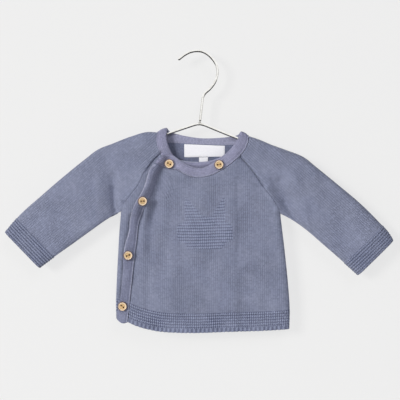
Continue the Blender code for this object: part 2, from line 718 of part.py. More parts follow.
def button_mesh(material):
    """A turned button with a rim, a shallow dish and two holes, lying in x, y with its face up."""
    profile = ((0.0, 0.0), (BUTTON_RADIUS - BUTTON_ROUND, 0.0), (BUTTON_RADIUS, BUTTON_ROUND),
               (BUTTON_RADIUS, BUTTON_HEIGHT - BUTTON_ROUND),
               (BUTTON_RADIUS - BUTTON_ROUND, BUTTON_HEIGHT),
               (BUTTON_RADIUS - BUTTON_RIM, BUTTON_HEIGHT - 0.1),
               (BUTTON_RADIUS - BUTTON_RIM - BUTTON_ROUND, BUTTON_HEIGHT - BUTTON_DISH),
               (0.0, BUTTON_HEIGHT - BUTTON_DISH))
    shape = bmesh.new()
    points = [shape.verts.new((radius * MM, 0.0, height * MM)) for radius, height in profile]
    rim = [shape.edges.new(pair) for pair in zip(points[:-1], points[1:])]
    bmesh.ops.spin(shape, geom=rim, cent=(0, 0, 0), axis=(0, 0, 1), angle=math.tau,
                   steps=BUTTON_SIDES, use_merge=True)
    bmesh.ops.remove_doubles(shape, verts=shape.verts, dist=0.00001)
    bmesh.ops.recalc_face_normals(shape, faces=shape.faces)
    mesh = bpy.data.meshes.new("button_blank")
    shape.to_mesh(mesh)
    shape.free()
    blank = bpy.data.objects.new("button_blank", mesh)
    bpy.context.scene.collection.objects.link(blank)
    cutters = []
    for side in (-1, 1):
        drill = bmesh.new()
        bmesh.ops.create_cone(drill, cap_ends=True, segments=10, radius1=HOLE_RADIUS * MM,
                              radius2=HOLE_RADIUS * MM, depth=3 * BUTTON_HEIGHT * MM)
        drill_mesh = bpy.data.meshes.new("button_drill")
        drill.to_mesh(drill_mesh)
        drill.free()
        cutter = bpy.data.objects.new("button_drill", drill_mesh)
        cutter.location = (side * HOLE_SPACING / 2 * MM, 0, 0)
        bpy.context.scene.collection.objects.link(cutter)
        cut = blank.modifiers.new("hole", "BOOLEAN")
        cut.operation = "DIFFERENCE"
        cut.solver = "EXACT"
        cut.object = cutter
        cutters.append(cutter)
    bpy.context.view_layer.update()
    evaluated = blank.evaluated_get(bpy.context.evaluated_depsgraph_get())
    drilled = bpy.data.meshes.new_from_object(evaluated)
    drilled.name = "button"
    for thing in (blank, *cutters):
        bpy.data.objects.remove(thing)
    drilled.shade_smooth()
    drilled.set_sharp_from_angle(angle=math.radians(35))
    drilled.materials.clear()
    drilled.materials.append(material)
    return drilled


def seat_of(button):
    """Where a button's back lies: clear of the cloth's outer surface all over, and square to it."""
    spots = [(button.x, button.z)]
    for radius in (BUTTON_RADIUS / 3, BUTTON_RADIUS * 2 / 3, BUTTON_RADIUS):
        for angle in np.linspace(0, math.tau, 12, endpoint=False):
            spots.append((button.x + radius * math.cos(angle), button.z + radius * math.sin(angle)))
    middle, normal = over_face.place(np.array(spots)[None])
    surface = (middle + normal * (BAND_WALL / 2 + BAND_BULGE))[0]
    facing = unit(normal[0].mean(axis=0))
    lift = ((surface - surface[0]) @ facing).max()
    return surface[0] + facing * (lift + SEAM_GAP), facing


def wire(name, rows, corners, material, parent):
    """A round wire along a table's points, smooth but at its corners."""
    flat = np.array([(row.x, row.z) for row in rows])
    stops = [0, *corners, len(flat) - 1]
    parts = [smooth(flat[a:b + 1], 3) for a, b in zip(stops[:-1], stops[1:])]
    line = np.vstack([parts[0], *[part[1:] for part in parts[1:]]])
    bend = bpy.data.curves.new(name, "CURVE")
    bend.dimensions = "3D"
    bend.bevel_depth = WIRE_RADIUS * MM
    bend.bevel_resolution = 3
    bend.use_fill_caps = True
    spline = bend.splines.new("POLY")
    spline.points.add(len(line) - 1)
    for point, (x, z) in zip(spline.points, line):
        point.co = (x * MM, 0.0, z * MM, 1.0)
    bend.materials.append(material)
    thing = bpy.data.objects.new(name, bend)
    bpy.context.scene.collection.objects.link(thing)
    thing.parent = parent
    return thing


def tape(name, rows, material, parent):
    """A flat woven tape between its corners, just inside the back."""
    inner = BACK_DEPTH - WALL / 2 - SEAM_GAP
    shape = bmesh.new()
    rings = []
    for y in (inner - TAPE_THICKNESS, inner):
        rings.append([shape.verts.new((row.x * MM, y * MM, row.z * MM)) for row in rows])
    near, far = rings
    shape.faces.new(near)
    shape.faces.new(far[::-1])
    for k in range(len(rows)):
        follow = (k + 1) % len(rows)
        shape.faces.new((near[k], far[k], far[follow], near[follow]))
    bmesh.ops.recalc_face_normals(shape, faces=shape.faces)
    mesh = bpy.data.meshes.new(name)
    shape.to_mesh(mesh)
    shape.free()
    return add(name, mesh, material, parent)


def main():
    """Builds every piece."""
    for thing in list(bpy.data.objects):
        bpy.data.objects.remove(thing)
    knit = finish("blue_grey_knit", (0.205, 0.232, 0.319), 0.92)
    band_knit = finish("blue_grey_band", (0.245, 0.250, 0.352), 0.92)
    wood = finish("turned_wood", (0.72, 0.53, 0.33), 0.55)
    woven = finish("woven_label", (0.84, 0.84, 0.87), 0.75)
    metal = finish("plated_wire", (0.55, 0.53, 0.50), 0.25, 1.0)

    garment = bpy.data.objects.new("garment", None)
    hanger = bpy.data.objects.new("hanger", None)
    for group in (garment, hanger):
        bpy.context.scene.collection.objects.link(group)

    over_grid = over_front_grid()
    rows = len(over_grid)
    for name, grid, face, edges in (
        ("back", back_grid(), back_face, {"top": "seam", "left": "closing", "right": "closing"}),
        ("under_front", under_front_grid(), under_face, {"top": "seam", "left": "closing"}),
        ("over_front", over_grid, over_face, {"top": "seam", "left": "seam", "right": "closing"}),
    ):
        cloth(name, grid, face, edges, knit, garment, band_relief(*grid.shape[:2]), plain_inside(rows))

    left_front = under_seam[:UNDER_RAGLAN_STATION * STATION_STEPS + 1][::-1]
    left_back = back_seam[BACK_LEFT_STATION * STATION_STEPS:]
    right_front = over_seam[OVER_RAGLAN_STATION * STATION_STEPS:]
    right_back = back_seam[:BACK_RIGHT_STATION * STATION_STEPS + 1][::-1]
    sleeve("sleeve_left", under_face, fold_left, underarm_left, raglans["left_front"],
           raglans["left_back"], left_front, left_back, knit, garment)
    sleeve("sleeve_right", over_face, fold_right, underarm_right, raglans["right_front"],
           raglans["right_back"], right_front, right_back, knit, garment)

    middle, normal = neckband_arrays()
    mesh = wall_mesh("neckband", middle, normal, BAND_WALL, bulge(*middle.shape[:2]),
                     list(range(len(middle))))
    add("neckband", mesh, band_knit, garment)
    grid = front_band_grid(over_grid)
    cloth("front_band", grid, over_face, {"left": "seam", "top": "seam"}, band_knit, garment,
          bulge(*grid.shape[:2]), plain_inside(rows), BAND_WALL)

    turned = button_mesh(wood)
    for number, row in enumerate(BUTTONS, start=1):
        seat, facing = seat_of(row)
        button = bpy.data.objects.new(f"button_{number}", turned)
        bpy.context.scene.collection.objects.link(button)
        button.parent = garment
        button.location = seat * MM
        across = unit(np.cross((0.0, 0.0, 1.0), facing))
        up = np.cross(facing, across)
        turn = math.radians(row.turn)
        first = across * math.cos(turn) + up * math.sin(turn)
        second = np.cross(facing, first)
        button.rotation_mode = "QUATERNION"
        button.rotation_quaternion = Matrix((first, second, facing)).transposed().to_quaternion()

    tape("label", LABEL, woven, garment)
    tape("size_tag", SIZE_TAG, woven, garment)

    wire("hanger_hook", HOOK, [HOOK_CORNER], metal, hanger)
    wire("hanger_arms", ARMS, [ARMS_CORNER], metal, hanger)


main()
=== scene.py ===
"""A baby's wrap cardigan in fine cotton knit, buttoned over to one side, on a plain wire hanger.

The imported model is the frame. Every cloth piece of it is replaced by a finer wall that follows the same
lines: its stitches, garter ridges, seams and soft folds are added here. All lines are in millimetres in the
x, z plane, with the origin at the inside of the hook's crown and the front facing -Y.
"""

import logging
import math
from collections.abc import Callable, Sequence
from dataclasses import dataclass, field, replace
from enum import Enum
from functools import partial

import bmesh
import bpy
import numpy as np
from bpy.types import ID, Material, Mesh, Node, NodeSocket, NodeTree, Object
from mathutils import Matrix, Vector

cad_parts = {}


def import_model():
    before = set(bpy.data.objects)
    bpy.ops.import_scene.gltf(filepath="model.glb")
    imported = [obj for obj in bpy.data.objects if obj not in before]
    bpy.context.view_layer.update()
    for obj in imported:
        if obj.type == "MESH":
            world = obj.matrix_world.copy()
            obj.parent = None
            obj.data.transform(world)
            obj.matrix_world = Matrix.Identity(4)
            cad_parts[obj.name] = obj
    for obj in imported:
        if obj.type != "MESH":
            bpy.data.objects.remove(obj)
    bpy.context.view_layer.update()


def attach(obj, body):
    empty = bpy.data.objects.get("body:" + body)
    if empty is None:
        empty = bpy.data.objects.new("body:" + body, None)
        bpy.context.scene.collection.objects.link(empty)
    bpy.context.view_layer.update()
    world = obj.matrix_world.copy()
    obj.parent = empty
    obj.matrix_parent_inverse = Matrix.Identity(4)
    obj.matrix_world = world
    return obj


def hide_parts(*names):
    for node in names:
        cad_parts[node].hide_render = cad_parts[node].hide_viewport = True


LOG = logging.getLogger("cardigan")
MM = 0.001
# How many courses tall the bars of a cast-on or cast-off edge are.
CAST_ON = 3.2
STITCH_MAP = "stitches"

Array = np.ndarray
Rows = Sequence[Sequence[float]]

# Side seams from hem to armpit, underarm seams from armpit to cuff, top folds from cuff to shoulder.
SIDE_LEFT: Rows = ((-104.3, -345), (-104.8, -333), (-104, -300), (-102.3, -267), (-100.4, -234), (-98, -206))
UNDERARM_LEFT: Rows = ((-98, -206), (-115, -215.5), (-138, -231.5), (-158, -246), (-185.5, -265.5), (-205, -280))
FOLD_LEFT: Rows = (
    (-249, -234.5), (-230, -212.5), (-201.5, -187), (-172.5, -162), (-144, -139), (-128, -127), (-110.5, -120),
    (-86, -110.5), (-64, -104.5), (-51.5, -105))
SIDE_RIGHT: Rows = ((119.5, -359.5), (120, -332.5), (118, -302.5), (114, -263), (107.5, -209))
UNDERARM_RIGHT: Rows = ((107.5, -209), (122, -216.5), (141.5, -230), (162.5, -248), (185.5, -268), (209.5, -289.5))
FOLD_RIGHT: Rows = (
    (254.5, -245), (247, -233.5), (236, -221.5), (213.5, -199), (184, -174), (154.5, -150), (138, -137),
    (117, -128.5), (95, -120.5), (79.5, -114), (67, -110))

# Raglan seams, from armpit to neck.
RAGLAN_LEFT_FRONT: Rows = (
    (-98, -206), (-95, -198), (-87.5, -187.5), (-75, -171), (-68.5, -157), (-58, -142.5), (-47.5, -131.5))
RAGLAN_RIGHT_FRONT: Rows = (
    (107.5, -209), (104.5, -201), (95, -186), (82, -170), (72.5, -155), (64.5, -145.5), (55.5, -135))
RAGLAN_LEFT_BACK: Rows = ((-98, -206), (-86, -184.5), (-70, -158.5), (-56, -135), (-43.5, -116))
RAGLAN_RIGHT_BACK: Rows = ((107.5, -209), (95, -188), (79.5, -162), (67, -138.5), (58, -118.5))

# Hems, from left to right.
OVER_HEM: Rows = (
    (-89.3, -350), (-79.5, -354.5), (-68.5, -358), (-50, -362), (-31, -363.5), (-9, -364), (43, -362.5), (82, -361.5),
    (119.5, -359.5))
UNDER_HEM: Rows = ((-104.3, -345), (-79.5, -352), (-50, -359.5), (-9, -361.5), (47, -360))
BACK_HEM: Rows = ((-104.3, -345), (-79.5, -352.5), (-50, -359.5), (-9, -362), (43, -361), (82, -360), (119.5, -359.5))

# The neckband's stations: x, z of the seam below it, then x, z of its free edge above.
NECKBAND_OVER: Rows = (
    (-53.3, -144, -44.2, -134.7), (-43, -149.2, -37.1, -133), (-34, -151.6, -31, -134.4),
    (-25.4, -153.6, -24.5, -138.6), (-17, -158.2, -16, -144.3), (-7.8, -162, -7.2, -148.7), (2.6, -163, 3.2, -150.9),
    (13.3, -161.7, 11.1, -149.4), (24, -157.8, 18.2, -145.3), (34.5, -152, 26.5, -139.8), (45, -144.6, 36.6, -132.3),
    (55.5, -135, 45.8, -123), (62.8, -126, 51.8, -114.5), (66.6, -116.5, 55.2, -108.5), (67, -110, 56.2, -103.6))
NECKBAND_BACK: Rows = (
    (67, -110, 56.2, -103.6), (64.5, -115.5, 54.5, -106.3), (58, -118.5, 50.5, -108.3), (45, -120.3, 42, -109.8),
    (27, -120.2, 27, -111.2), (5, -119.3, 5, -111.5), (-12.5, -118.7, -12, -109.3), (-28.5, -117.6, -25.5, -106.2),
    (-43.5, -116, -34.5, -103.2), (-49.3, -111, -37.2, -100.9), (-51.5, -105, -38.4, -99.1))
NECKBAND_UNDER: Rows = (
    (-51.5, -105, -38.4, -99.1), (-52.5, -111.5, -39.3, -107.1), (-51.3, -122, -37.9, -118),
    (-47.5, -131.5, -34.8, -126.8), (-42.2, -140, -30, -134.6), (-33.8, -148.6, -23.6, -139.2),
    (-22, -154.4, -15.6, -141.4), (-9, -157, -6.5, -142.2), (4, -157.6, 4, -142.5), (17, -156, 15, -141.6),
    (30, -152.5, 25.5, -138.6), (41.5, -146.6, 33.8, -134.9))

# The front band, from hem to neckband: its free edge, and its seam with the over front.
BAND_EDGE: Rows = (
    (-104.5, -345), (-99.8, -320), (-95.7, -280.5), (-93.2, -250.5), (-88.3, -233.5), (-85.4, -213.5), (-82.4, -204),
    (-78.8, -195), (-74, -187), (-68.8, -176.5), (-64.4, -163), (-60.8, -152.5), (-53.3, -144))
BAND_SEAM: Rows = (
    (-89.3, -350), (-86.4, -324.5), (-81.7, -275.5), (-77.7, -244), (-74.5, -219), (-71, -209), (-65, -198),
    (-57.8, -183), (-53, -169), (-49.6, -157.5), (-43, -149.2))

# Hanger wire: the hook from its tip to its stem, and the arms from end to end.
HOOK: Rows = (
    (-24.5, -10), (-17.2, -4.2), (-9, 0.2), (0, 1.7), (6.5, 1), (14.2, -3), (21.2, -10), (25.3, -17), (26.7, -24.5),
    (25.7, -32.5), (23.2, -39), (17, -47.5), (9.2, -55), (7.4, -59.5), (3.9, -90.1))
ARMS: Rows = (
    (-126.4, -130.6), (-96, -122.2), (-66, -114.2), (-39, -106.2), (3.4, -92), (54, -112.5), (84, -122.5),
    (112, -132.2), (136.3, -140.3))

# Corners of the label and of the size tag below it, clockwise from the top left.
LABEL: Rows = ((-16.6, -119.3), (36.4, -121.6), (35.9, -135.5), (-16.6, -136.4))
SIZE_TAG: Rows = ((2.7, -136.5), (14.4, -136.3), (14.2, -151), (2.6, -151.2))

# Button centres, and the turn of each pair of holes in degrees.
BUTTONS: Rows = (
    (-35.4, -145.5, -28), (28.1, -146.5, 14), (-71, -193.2, 3), (-89.4, -263.5, 20), (-96.1, -329.3, -36))


@dataclass(frozen=True)
class Fold:
    """A soft fold: a ridge, or a valley where its height is below 0, along a line of x, z points."""

    path: Rows
    height: float
    width: float


# Folds of one front alone, and those that the whole front or the whole back shares.
OVER_FOLDS = (
    Fold(((-47, -139), (-54.5, -149), (-60.5, -162), (-66.5, -176), (-73, -190), (-80, -207)), 4.2, 5.4),
    Fold(((-80, -207), (-88.5, -230), (-93, -250), (-95.5, -276)), 2.4, 6.0),
    Fold(((-34, -168), (-37, -186), (-41, -210), (-46, -236)), 1.2, 7.0),
    Fold(((-64, -200), (-66.5, -212), (-70, -226)), 1.2, 3.0),
    Fold(((-29, -170), (-30, -230), (-31, -345)), 0.8, 8.0),
    Fold(((40, -166), (42.5, -205), (41, -260)), 0.5, 7.0),
    Fold(((52, -165), (53, -230), (52, -285)), -0.6, 3.0),
    Fold(((-20, -149), (-6, -153), (4, -154), (14, -152.5), (26, -147)), 0.8, 4.0),
)
UNDER_FOLDS = (
    Fold(((-24, -147), (-8, -150.5), (4, -151), (18, -149.5), (30, -145)), -3.2, 3.8),
    Fold(((-102.5, -345), (-98, -320), (-93.9, -280.5), (-91.4, -250.5), (-86.6, -233.5),
          (-83.6, -213.5)), -2.8, 4.6),
)
FRONT_FOLDS = (
    Fold(((-37.5, -139), (-44.5, -153), (-47.5, -166), (-49.5, -179), (-51.5, -192), (-53, -205),
          (-58, -217)), -3.6, 7.5),
    Fold(((-56, -184), (-56.5, -198), (-57.5, -214), (-59.5, -232), (-61, -258)), -2.0, 5.4),
    Fold(((-61, -232), (-62, -262), (-63, -300), (-64, -335)), -0.9, 6.0),
    Fold(((-71, -214), (-75, -232), (-78.5, -262), (-81, -300)), -1.4, 4.0),
    Fold(((-40, -104), (-42, -121), (-48, -135), (-57.5, -147), (-65, -160), (-73, -180), (-80, -208)), 3.4, 17.0),
    Fold(((-108.5, -164), (-107.5, -178), (-107, -192), (-106.5, -206), (-106, -216)), -3.0, 7.0),
    Fold(((-108.5, -178), (-107, -200), (-106, -218)), -3.4, 5.0),
    Fold(((-107, -207), (-100, -203), (-94, -194)), -2.4, 2.6),
    Fold(((-127, -164), (-126, -190), (-124, -220)), 1.2, 6.5),
    Fold(((-101, -160), (-102, -180), (-100, -200)), 0.7, 4.5),
    Fold(((-46, -131), (-57, -143), (-65.5, -155)), -2.6, 2.0),
    Fold(((56.5, -137), (66, -147), (74, -156.5), (86, -173)), -2.3, 1.9),
    Fold(((90, -180), (97, -191), (103, -203)), 1.9, 3.6),
    Fold(((107, -170), (114.5, -187), (120, -200), (126, -215)), -4.8, 7.2),
    Fold(((96, -166), (105, -184), (112, -199), (118, -211)), -1.8, 4.5),
    Fold(((114, -196), (119, -205), (125, -214)), -2.4, 4.6),
    Fold(((84, -118), (104, -128), (128, -139), (150, -152)), 1.6, 9.0),
    Fold(((129, -168), (134, -185), (139, -200), (144, -222)), 1.4, 5.6),
    Fold(((146, -170), (151, -192), (156, -226)), 0.6, 8.0),
    Fold(((-67, -118), (-88, -128), (-104, -133)), 0.8, 5.0),
    Fold(((-160, -170), (-185, -200), (-205, -240)), 0.6, 12.0),
    Fold(((180, -168), (204, -201), (221, -242)), 2.4, 20.0),
)
BACK_FOLDS = (
    Fold(((-107.5, -174), (-107, -192), (-106, -216)), 2.4, 8.0),
    Fold(((111, -178), (117, -194), (125, -216)), 1.6, 8.0),
    Fold(((-52, -176), (-58, -230), (-60, -300)), 0.9, 13.0),
    Fold(((58, -180), (66, -235), (70, -305)), 0.9, 13.0),
    Fold(((4, -150), (6, -215), (8, -320)), 0.7, 16.0),
)


# --- Lines ---


def lengths(line: Array) -> Array:
    """Returns how far along a polyline each of its points lies."""
    return np.concatenate([[0.0], np.cumsum(np.linalg.norm(np.diff(line, axis=0), axis=1))])


def along(line: Array, distances: Array) -> Array:
    """Returns the points that lie at the given distances along a polyline."""
    done = lengths(line)
    return np.stack([np.interp(distances, done, line[:, k]) for k in range(line.shape[1])], axis=1)


def gone(grid: Array, axis: int = 1) -> Array:
    """Returns how far along its row each point of a grid lies, or with axis 0 along its column."""
    steps = np.linalg.norm(np.diff(grid, axis=axis), axis=2)
    return np.concatenate([np.zeros_like(steps.take([0], axis)), np.cumsum(steps, axis=axis)], axis=axis)


def smooth(rows: Rows | Array, steps: int = 8) -> Array:
    """Draws a smooth curve through points.

    Args:
        rows: The points.
        steps: How many steps to draw between two points.

    Returns:
        The curve as a polyline.
    """
    points = np.asarray(rows, float)
    spans = np.linalg.norm(np.diff(points, axis=0), axis=1)[:, None]
    slopes = np.diff(points, axis=0) / spans
    inner = (spans[1:] * slopes[:-1] + spans[:-1] * slopes[1:]) / (spans[:-1] + spans[1:])
    tangents = np.vstack([slopes[:1], inner, slopes[-1:]])
    share = np.linspace(0, 1, steps, endpoint=False)[:, None]
    parts = [(2 * share**3 - 3 * share**2 + 1) * points[k] + (share**3 - 2 * share**2 + share) * span * tangents[k]
             + (3 * share**2 - 2 * share**3) * points[k + 1] + (share**3 - share**2) * span * tangents[k + 1]
             for k, span in enumerate(spans)]
    return np.vstack([*parts, points[-1:]])


def unit(vectors: Array) -> Array:
    """Returns the vectors at length 1."""
    return vectors / np.maximum(np.linalg.norm(vectors, axis=-1, keepdims=True), 1e-12)


def ramp(value: Array) -> Array:
    """Returns 0 below 0, 1 above 1, and smooth values between."""
    share = np.clip(value, 0, 1)
    return share * share * (3 - 2 * share)


def nearest(points: Array, line: Array, on_line: float = 0.2) -> tuple[Array, Array]:
    """Measures from points to a polyline.

    Args:
        points: x, z points, one a row.
        line: The polyline, clockwise round the garment.
        on_line: The distance below which a point counts as on the line.

    Returns:
        Each point's distance, and the unit direction from it to the line, or on the line itself the
        direction out of the garment.
    """
    start, step = line[:-1], np.diff(line, axis=0)
    offset = points[:, None, :] - start[None]
    share = np.clip((offset * step).sum(-1) / (step * step).sum(-1), 0, 1)
    gap = start[None] + share[..., None] * step - points[:, None, :]
    distance = np.linalg.norm(gap, axis=-1)
    best = distance.argmin(axis=1)
    index = np.arange(len(points))
    found, towards = distance[index, best], gap[index, best]
    sides = unit(np.stack([-step[:, 1], step[:, 0]], axis=1))
    at = share[index, best]
    other = np.clip(best + np.where(at > 0.5, 1, -1), 0, len(step) - 1)
    at_point = (at < 1e-6) | (at > 1 - 1e-6)
    outside = unit(sides[best] + np.where(at_point, 1.0, 0.0)[:, None] * sides[other])
    touching = found < on_line
    return np.where(touching, 0.0, found), np.where(touching[:, None], outside, unit(towards))


def folded(points: Array, folds: Sequence[Fold]) -> Array:
    """Adds up folds.

    Args:
        points: x, z points, one a row.
        folds: The folds.

    Returns:
        How far the folds lift the cloth at each point, in millimetres.
    """
    lift = np.zeros(len(points))
    for fold in folds:
        distance, _ = nearest(points, np.array(fold.path, float))
        lift += fold.height * np.exp(-((distance / fold.width) ** 2))
    return lift


def ripples(points: Array, seed: int, height: float) -> Array:
    """Gives cloth the slight waves of a worn and washed knit.

    Args:
        points: x, z points, one a row.
        seed: Picks the waves.
        height: About how high they are, in millimetres.

    Returns:
        The lift at each point.
    """
    chance = np.random.default_rng(seed)
    lift = np.zeros(len(points))
    for _ in range(7):
        angle, pitch, phase = chance.uniform(-0.7, 0.7), chance.uniform(26.0, 75.0), chance.uniform(0, math.tau)
        way = points[:, 0] * math.cos(angle) + points[:, 1] * math.sin(angle)
        lift += np.sin(way * math.tau / pitch + phase)
    # Seven waves added up mostly stay within 2.6.
    return lift * height / 2.6


# --- The garment's layers ---


@dataclass(frozen=True)
class Gauge:
    """The knit's stitch sizes, and how far its forms stand up, in millimetres."""

    wale: float = 2.75
    course: float = 1.9
    ridges: int = 7
    hem: float = 25.0
    cuff: float = 24.0
    ridge_lift: float = 0.8
    bead: float = 0.5
    scallop: float = 0.3
    cast_on: float = CAST_ON
    wall: float = 1.8
    band_wall: float = 2.0

    def garter(self, wales: Array, courses: Array) -> tuple[Array, Array]:
        """Shapes garter ridges, two courses each, beaded stitch by stitch.

        Args:
            wales: The place across, in wales.
            courses: The place up, in courses.

        Returns:
            The ridge's height from 0 to 1, and how each stitch beads it.
        """
        ridge = np.abs(np.sin(np.pi * courses / 2)) ** 0.7
        bead = 1 - self.bead + self.bead * np.cos(math.tau * wales + np.pi * np.floor(courses / 2))
        return ridge, bead

    def cast_on_bars(self, lift: Array, wales: Array, courses: Array) -> Array:
        """Returns a relief with the rows at a cast-on edge turned into upright bars, one to two wales."""
        share = np.clip((self.cast_on - courses) / 0.4, 0, 1)
        return lift * (1 - share) + share * (0.2 + 0.35 * np.cos(np.pi * wales))


@dataclass(frozen=True)
class Depths:
    """How far each layer's middle stands off the hanger's plane, in millimetres."""

    back: float = 4.1
    under: float = 4.1
    over: float = 6.8
    over_alone: float = 5.2
    lap_edge_x: float = 48.0
    lap_step: float = 12.0
    edge_droop: float = 1.9
    sleeve: float = 0.9
    sleeve_from_x: float = 108.0
    sleeve_over: float = 45.0
    round_radius: float = 9.0
    below_hem: float = 40.0
    ripple: float = 0.3


@dataclass
class Side:
    """One side of the garment: its depth, and the closing lines where it rounds down to y = 0."""

    sign: float
    depth: Callable[[Array], Array]
    closings: list[Array]
    radius: float

    def place(self, grid: Array) -> tuple[Array, Array]:
        """Puts a grid of x, z points on this side's middle surface.

        Args:
            grid: x, z points, rows by columns.

        Returns:
            The middle points and the outward normals, both x, y, z.
        """
        points = grid.reshape(-1, 2)
        depth = self.depth(points)
        nudge = 0.05
        slope = np.stack([(self.depth(points + step) - self.depth(points - step)) / (2 * nudge)
                          for step in ((nudge, 0.0), (0.0, nudge))], axis=1)
        share = np.ones(len(points))
        outward = np.zeros((len(points), 2))
        for line in self.closings:
            distance, towards = nearest(points, line)
            cosine = 1 - np.clip(distance / self.radius, 0, 1)
            share *= np.sqrt(1 - cosine**2)
            outward += towards * (cosine * depth / self.radius)[:, None]
        outward -= slope * (share**2)[:, None]
        middle = np.stack([points[:, 0], self.sign * depth * share, points[:, 1]], axis=1)
        normal = unit(np.stack([outward[:, 0], self.sign * share, outward[:, 1]], axis=1))
        return middle.reshape(*grid.shape[:-1], 3), normal.reshape(*grid.shape[:-1], 3)


@dataclass
class Layers:
    """The garment's seam lines, and its three layers: back, under front and over front."""

    depths: Depths = field(default_factory=Depths)

    def __post_init__(self) -> None:
        """Draws the lines and sets up the layers."""
        self.side_left, self.side_right = smooth(SIDE_LEFT), smooth(SIDE_RIGHT)
        self.underarm_left, self.underarm_right = smooth(UNDERARM_LEFT), smooth(UNDERARM_RIGHT)
        self.fold_left, self.fold_right = smooth(FOLD_LEFT)[::-1], smooth(FOLD_RIGHT)[::-1]
        self.raglan_left_front, self.raglan_right_front = smooth(RAGLAN_LEFT_FRONT), smooth(RAGLAN_RIGHT_FRONT)
        self.raglan_left_back, self.raglan_right_back = smooth(RAGLAN_LEFT_BACK), smooth(RAGLAN_RIGHT_BACK)
        self.over_seam, self.back_seam, self.under_seam = (
            station_lines(rows)[0] for rows in (NECKBAND_OVER, NECKBAND_BACK, NECKBAND_UNDER))
        self.low_left = np.vstack([self.below(self.side_left), self.past_end(self.underarm_left)[1:]])
        self.low_right = np.vstack([self.below(self.side_right), self.past_end(self.underarm_right)[1:]])[::-1]
        crest_left, crest_right = NECKBAND_UNDER[0][2:], NECKBAND_BACK[0][2:]
        top_left = np.vstack([crest_left, self.past_end(self.fold_left)])[::-1]
        top_right = np.vstack([crest_right, self.past_end(self.fold_right)])
        left, right = [self.low_left, top_left], [self.low_right, top_right]
        size = self.depths
        self.back = Side(1, partial(self.depth, size.back, BACK_FOLDS, 3), left + right, size.round_radius)
        self.under = Side(-1, partial(self.depth, size.under, UNDER_FOLDS + FRONT_FOLDS, 5), left, size.round_radius)
        self.over = Side(-1, self.over_depth, right, size.round_radius)

    def below(self, line: Array) -> Array:
        """Returns a side seam carried on below the hem."""
        return np.vstack([line[:1] - (0.0, self.depths.below_hem), line])

    def past_end(self, line: Array) -> Array:
        """Returns a line carried straight on past its last point."""
        return np.vstack([line, line[-1] + unit(line[-1] - line[-2]) * self.depths.below_hem])

    def fullness(self, points: Array) -> Array:
        """Returns how much further the sleeves stand off than the body beside them."""
        size = self.depths
        return size.sleeve * ramp((np.abs(points[:, 0]) - size.sleeve_from_x) / size.sleeve_over)

    def depth(self, off: Array | float, folds: Sequence[Fold], seed: int, points: Array) -> Array:
        """Returns a layer's depth at x, z points: how far it stands off, its fullness, folds and waves."""
        return off + self.fullness(points) + folded(points, folds) + ripples(points, seed, self.depths.ripple)

    def over_depth(self, points: Array) -> Array:
        """Finds the over front's depth, which lessens past the under front's edge.

        Args:
            points: x, z points, one a row.

        Returns:
            The depth at each point.
        """
        size = self.depths
        past_lap = ramp((points[:, 0] - size.lap_edge_x) / size.lap_step)
        cosine = 1 - np.clip(nearest(points, self.low_left)[0] / size.round_radius, 0, 1)
        off = size.over + (size.over_alone - size.over) * past_lap - size.edge_droop * cosine**2
        return self.depth(off, OVER_FOLDS + FRONT_FOLDS, 5, points)


# --- Walls ---


class Edge(Enum):
    """How a wall's side ends."""

    LINKED = "linked"
    GROOVE = "groove"
    CLOSING = "closing"
    FREE = "free"


# Columns at a closing line, as distances in from it: even steps round the curve.
ROUND = tuple(9.0 * (1 - math.cos(math.radians(15 * k))) for k in range(7))
# Columns at a seam or a free edge, where the wall's own edge rounds over.
NEAR = (0.0, 0.22, 0.62)


def spaced(total: float, step: float, start: Edge, end: Edge) -> Array:
    """Chooses places across a wall.

    Args:
        total: The width to cover.
        step: The even step to take in the middle, in millimetres.
        start: How the wall begins.
        end: How it ends.

    Returns:
        Distances from the start, closer together where the wall rounds over.
    """
    # The even steps take over at the inmost place of a closing line, and a step in from other edges.
    first, low = (ROUND[:-1], ROUND[-1]) if start is Edge.CLOSING else (NEAR, step)
    last, high = (ROUND[:-1], ROUND[-1]) if end is Edge.CLOSING else (NEAR, step)
    high = total - high
    middle = np.arange(math.ceil((low + 0.1) / step), math.floor((high - 0.1) / step) + 1) * step
    return np.concatenate([first, [low], middle, [high], total - np.array(last[::-1])])


def fall(distance: Array, width: float, drop: float) -> Array:
    """Returns how far a rounded edge falls at distances in from it: by drop there, by nothing past width."""
    near = 1 - np.clip(distance / width, 0, 1)
    return drop * (1 - np.sqrt(np.clip(1 - near**2, 0, 1)))


def seam_fall(distance: Array) -> Array:
    """Returns the same for a linked seam, where the row beside the seam stands up a little."""
    return fall(distance, 1.5, 0.7) - 0.25 * np.exp(-(((distance - 2.5) / 1.1) ** 2))


# How far in from each kind of edge a wall starts to round over, and how far it falls at the edge.
ROUNDED = {Edge.GROOVE: (3.3, 1.4), Edge.CLOSING: (1.3, 0.5), Edge.FREE: (1.0, 0.6)}


def edge_fall(distance: Array, edge: Edge) -> Array:
    """Returns how far the outside falls at distances in from an edge of one kind."""
    return seam_fall(distance) if edge is Edge.LINKED else fall(distance, *ROUNDED[edge])


def bridge(first: Array, second: Array, first_at: Array, second_at: Array) -> list[tuple[int, int, int]]:
    """Fills the strip between two chains of points with triangles.

    Args:
        first: One chain's point numbers.
        second: The other chain's.
        first_at: How far along each point of the first lies, from 0 to 1.
        second_at: The same for the second.

    Returns:
        The triangles.
    """
    i, j, faces = 0, 0, []
    while i < len(first) - 1 or j < len(second) - 1:
        take_first = j == len(second) - 1 or (i < len(first) - 1 and first_at[i + 1] <= second_at[j + 1])
        if take_first:
            faces.append((int(first[i]), int(first[i + 1]), int(second[j])))
            i += 1
        else:
            faces.append((int(first[i]), int(second[j + 1]), int(second[j])))
            j += 1
    return faces


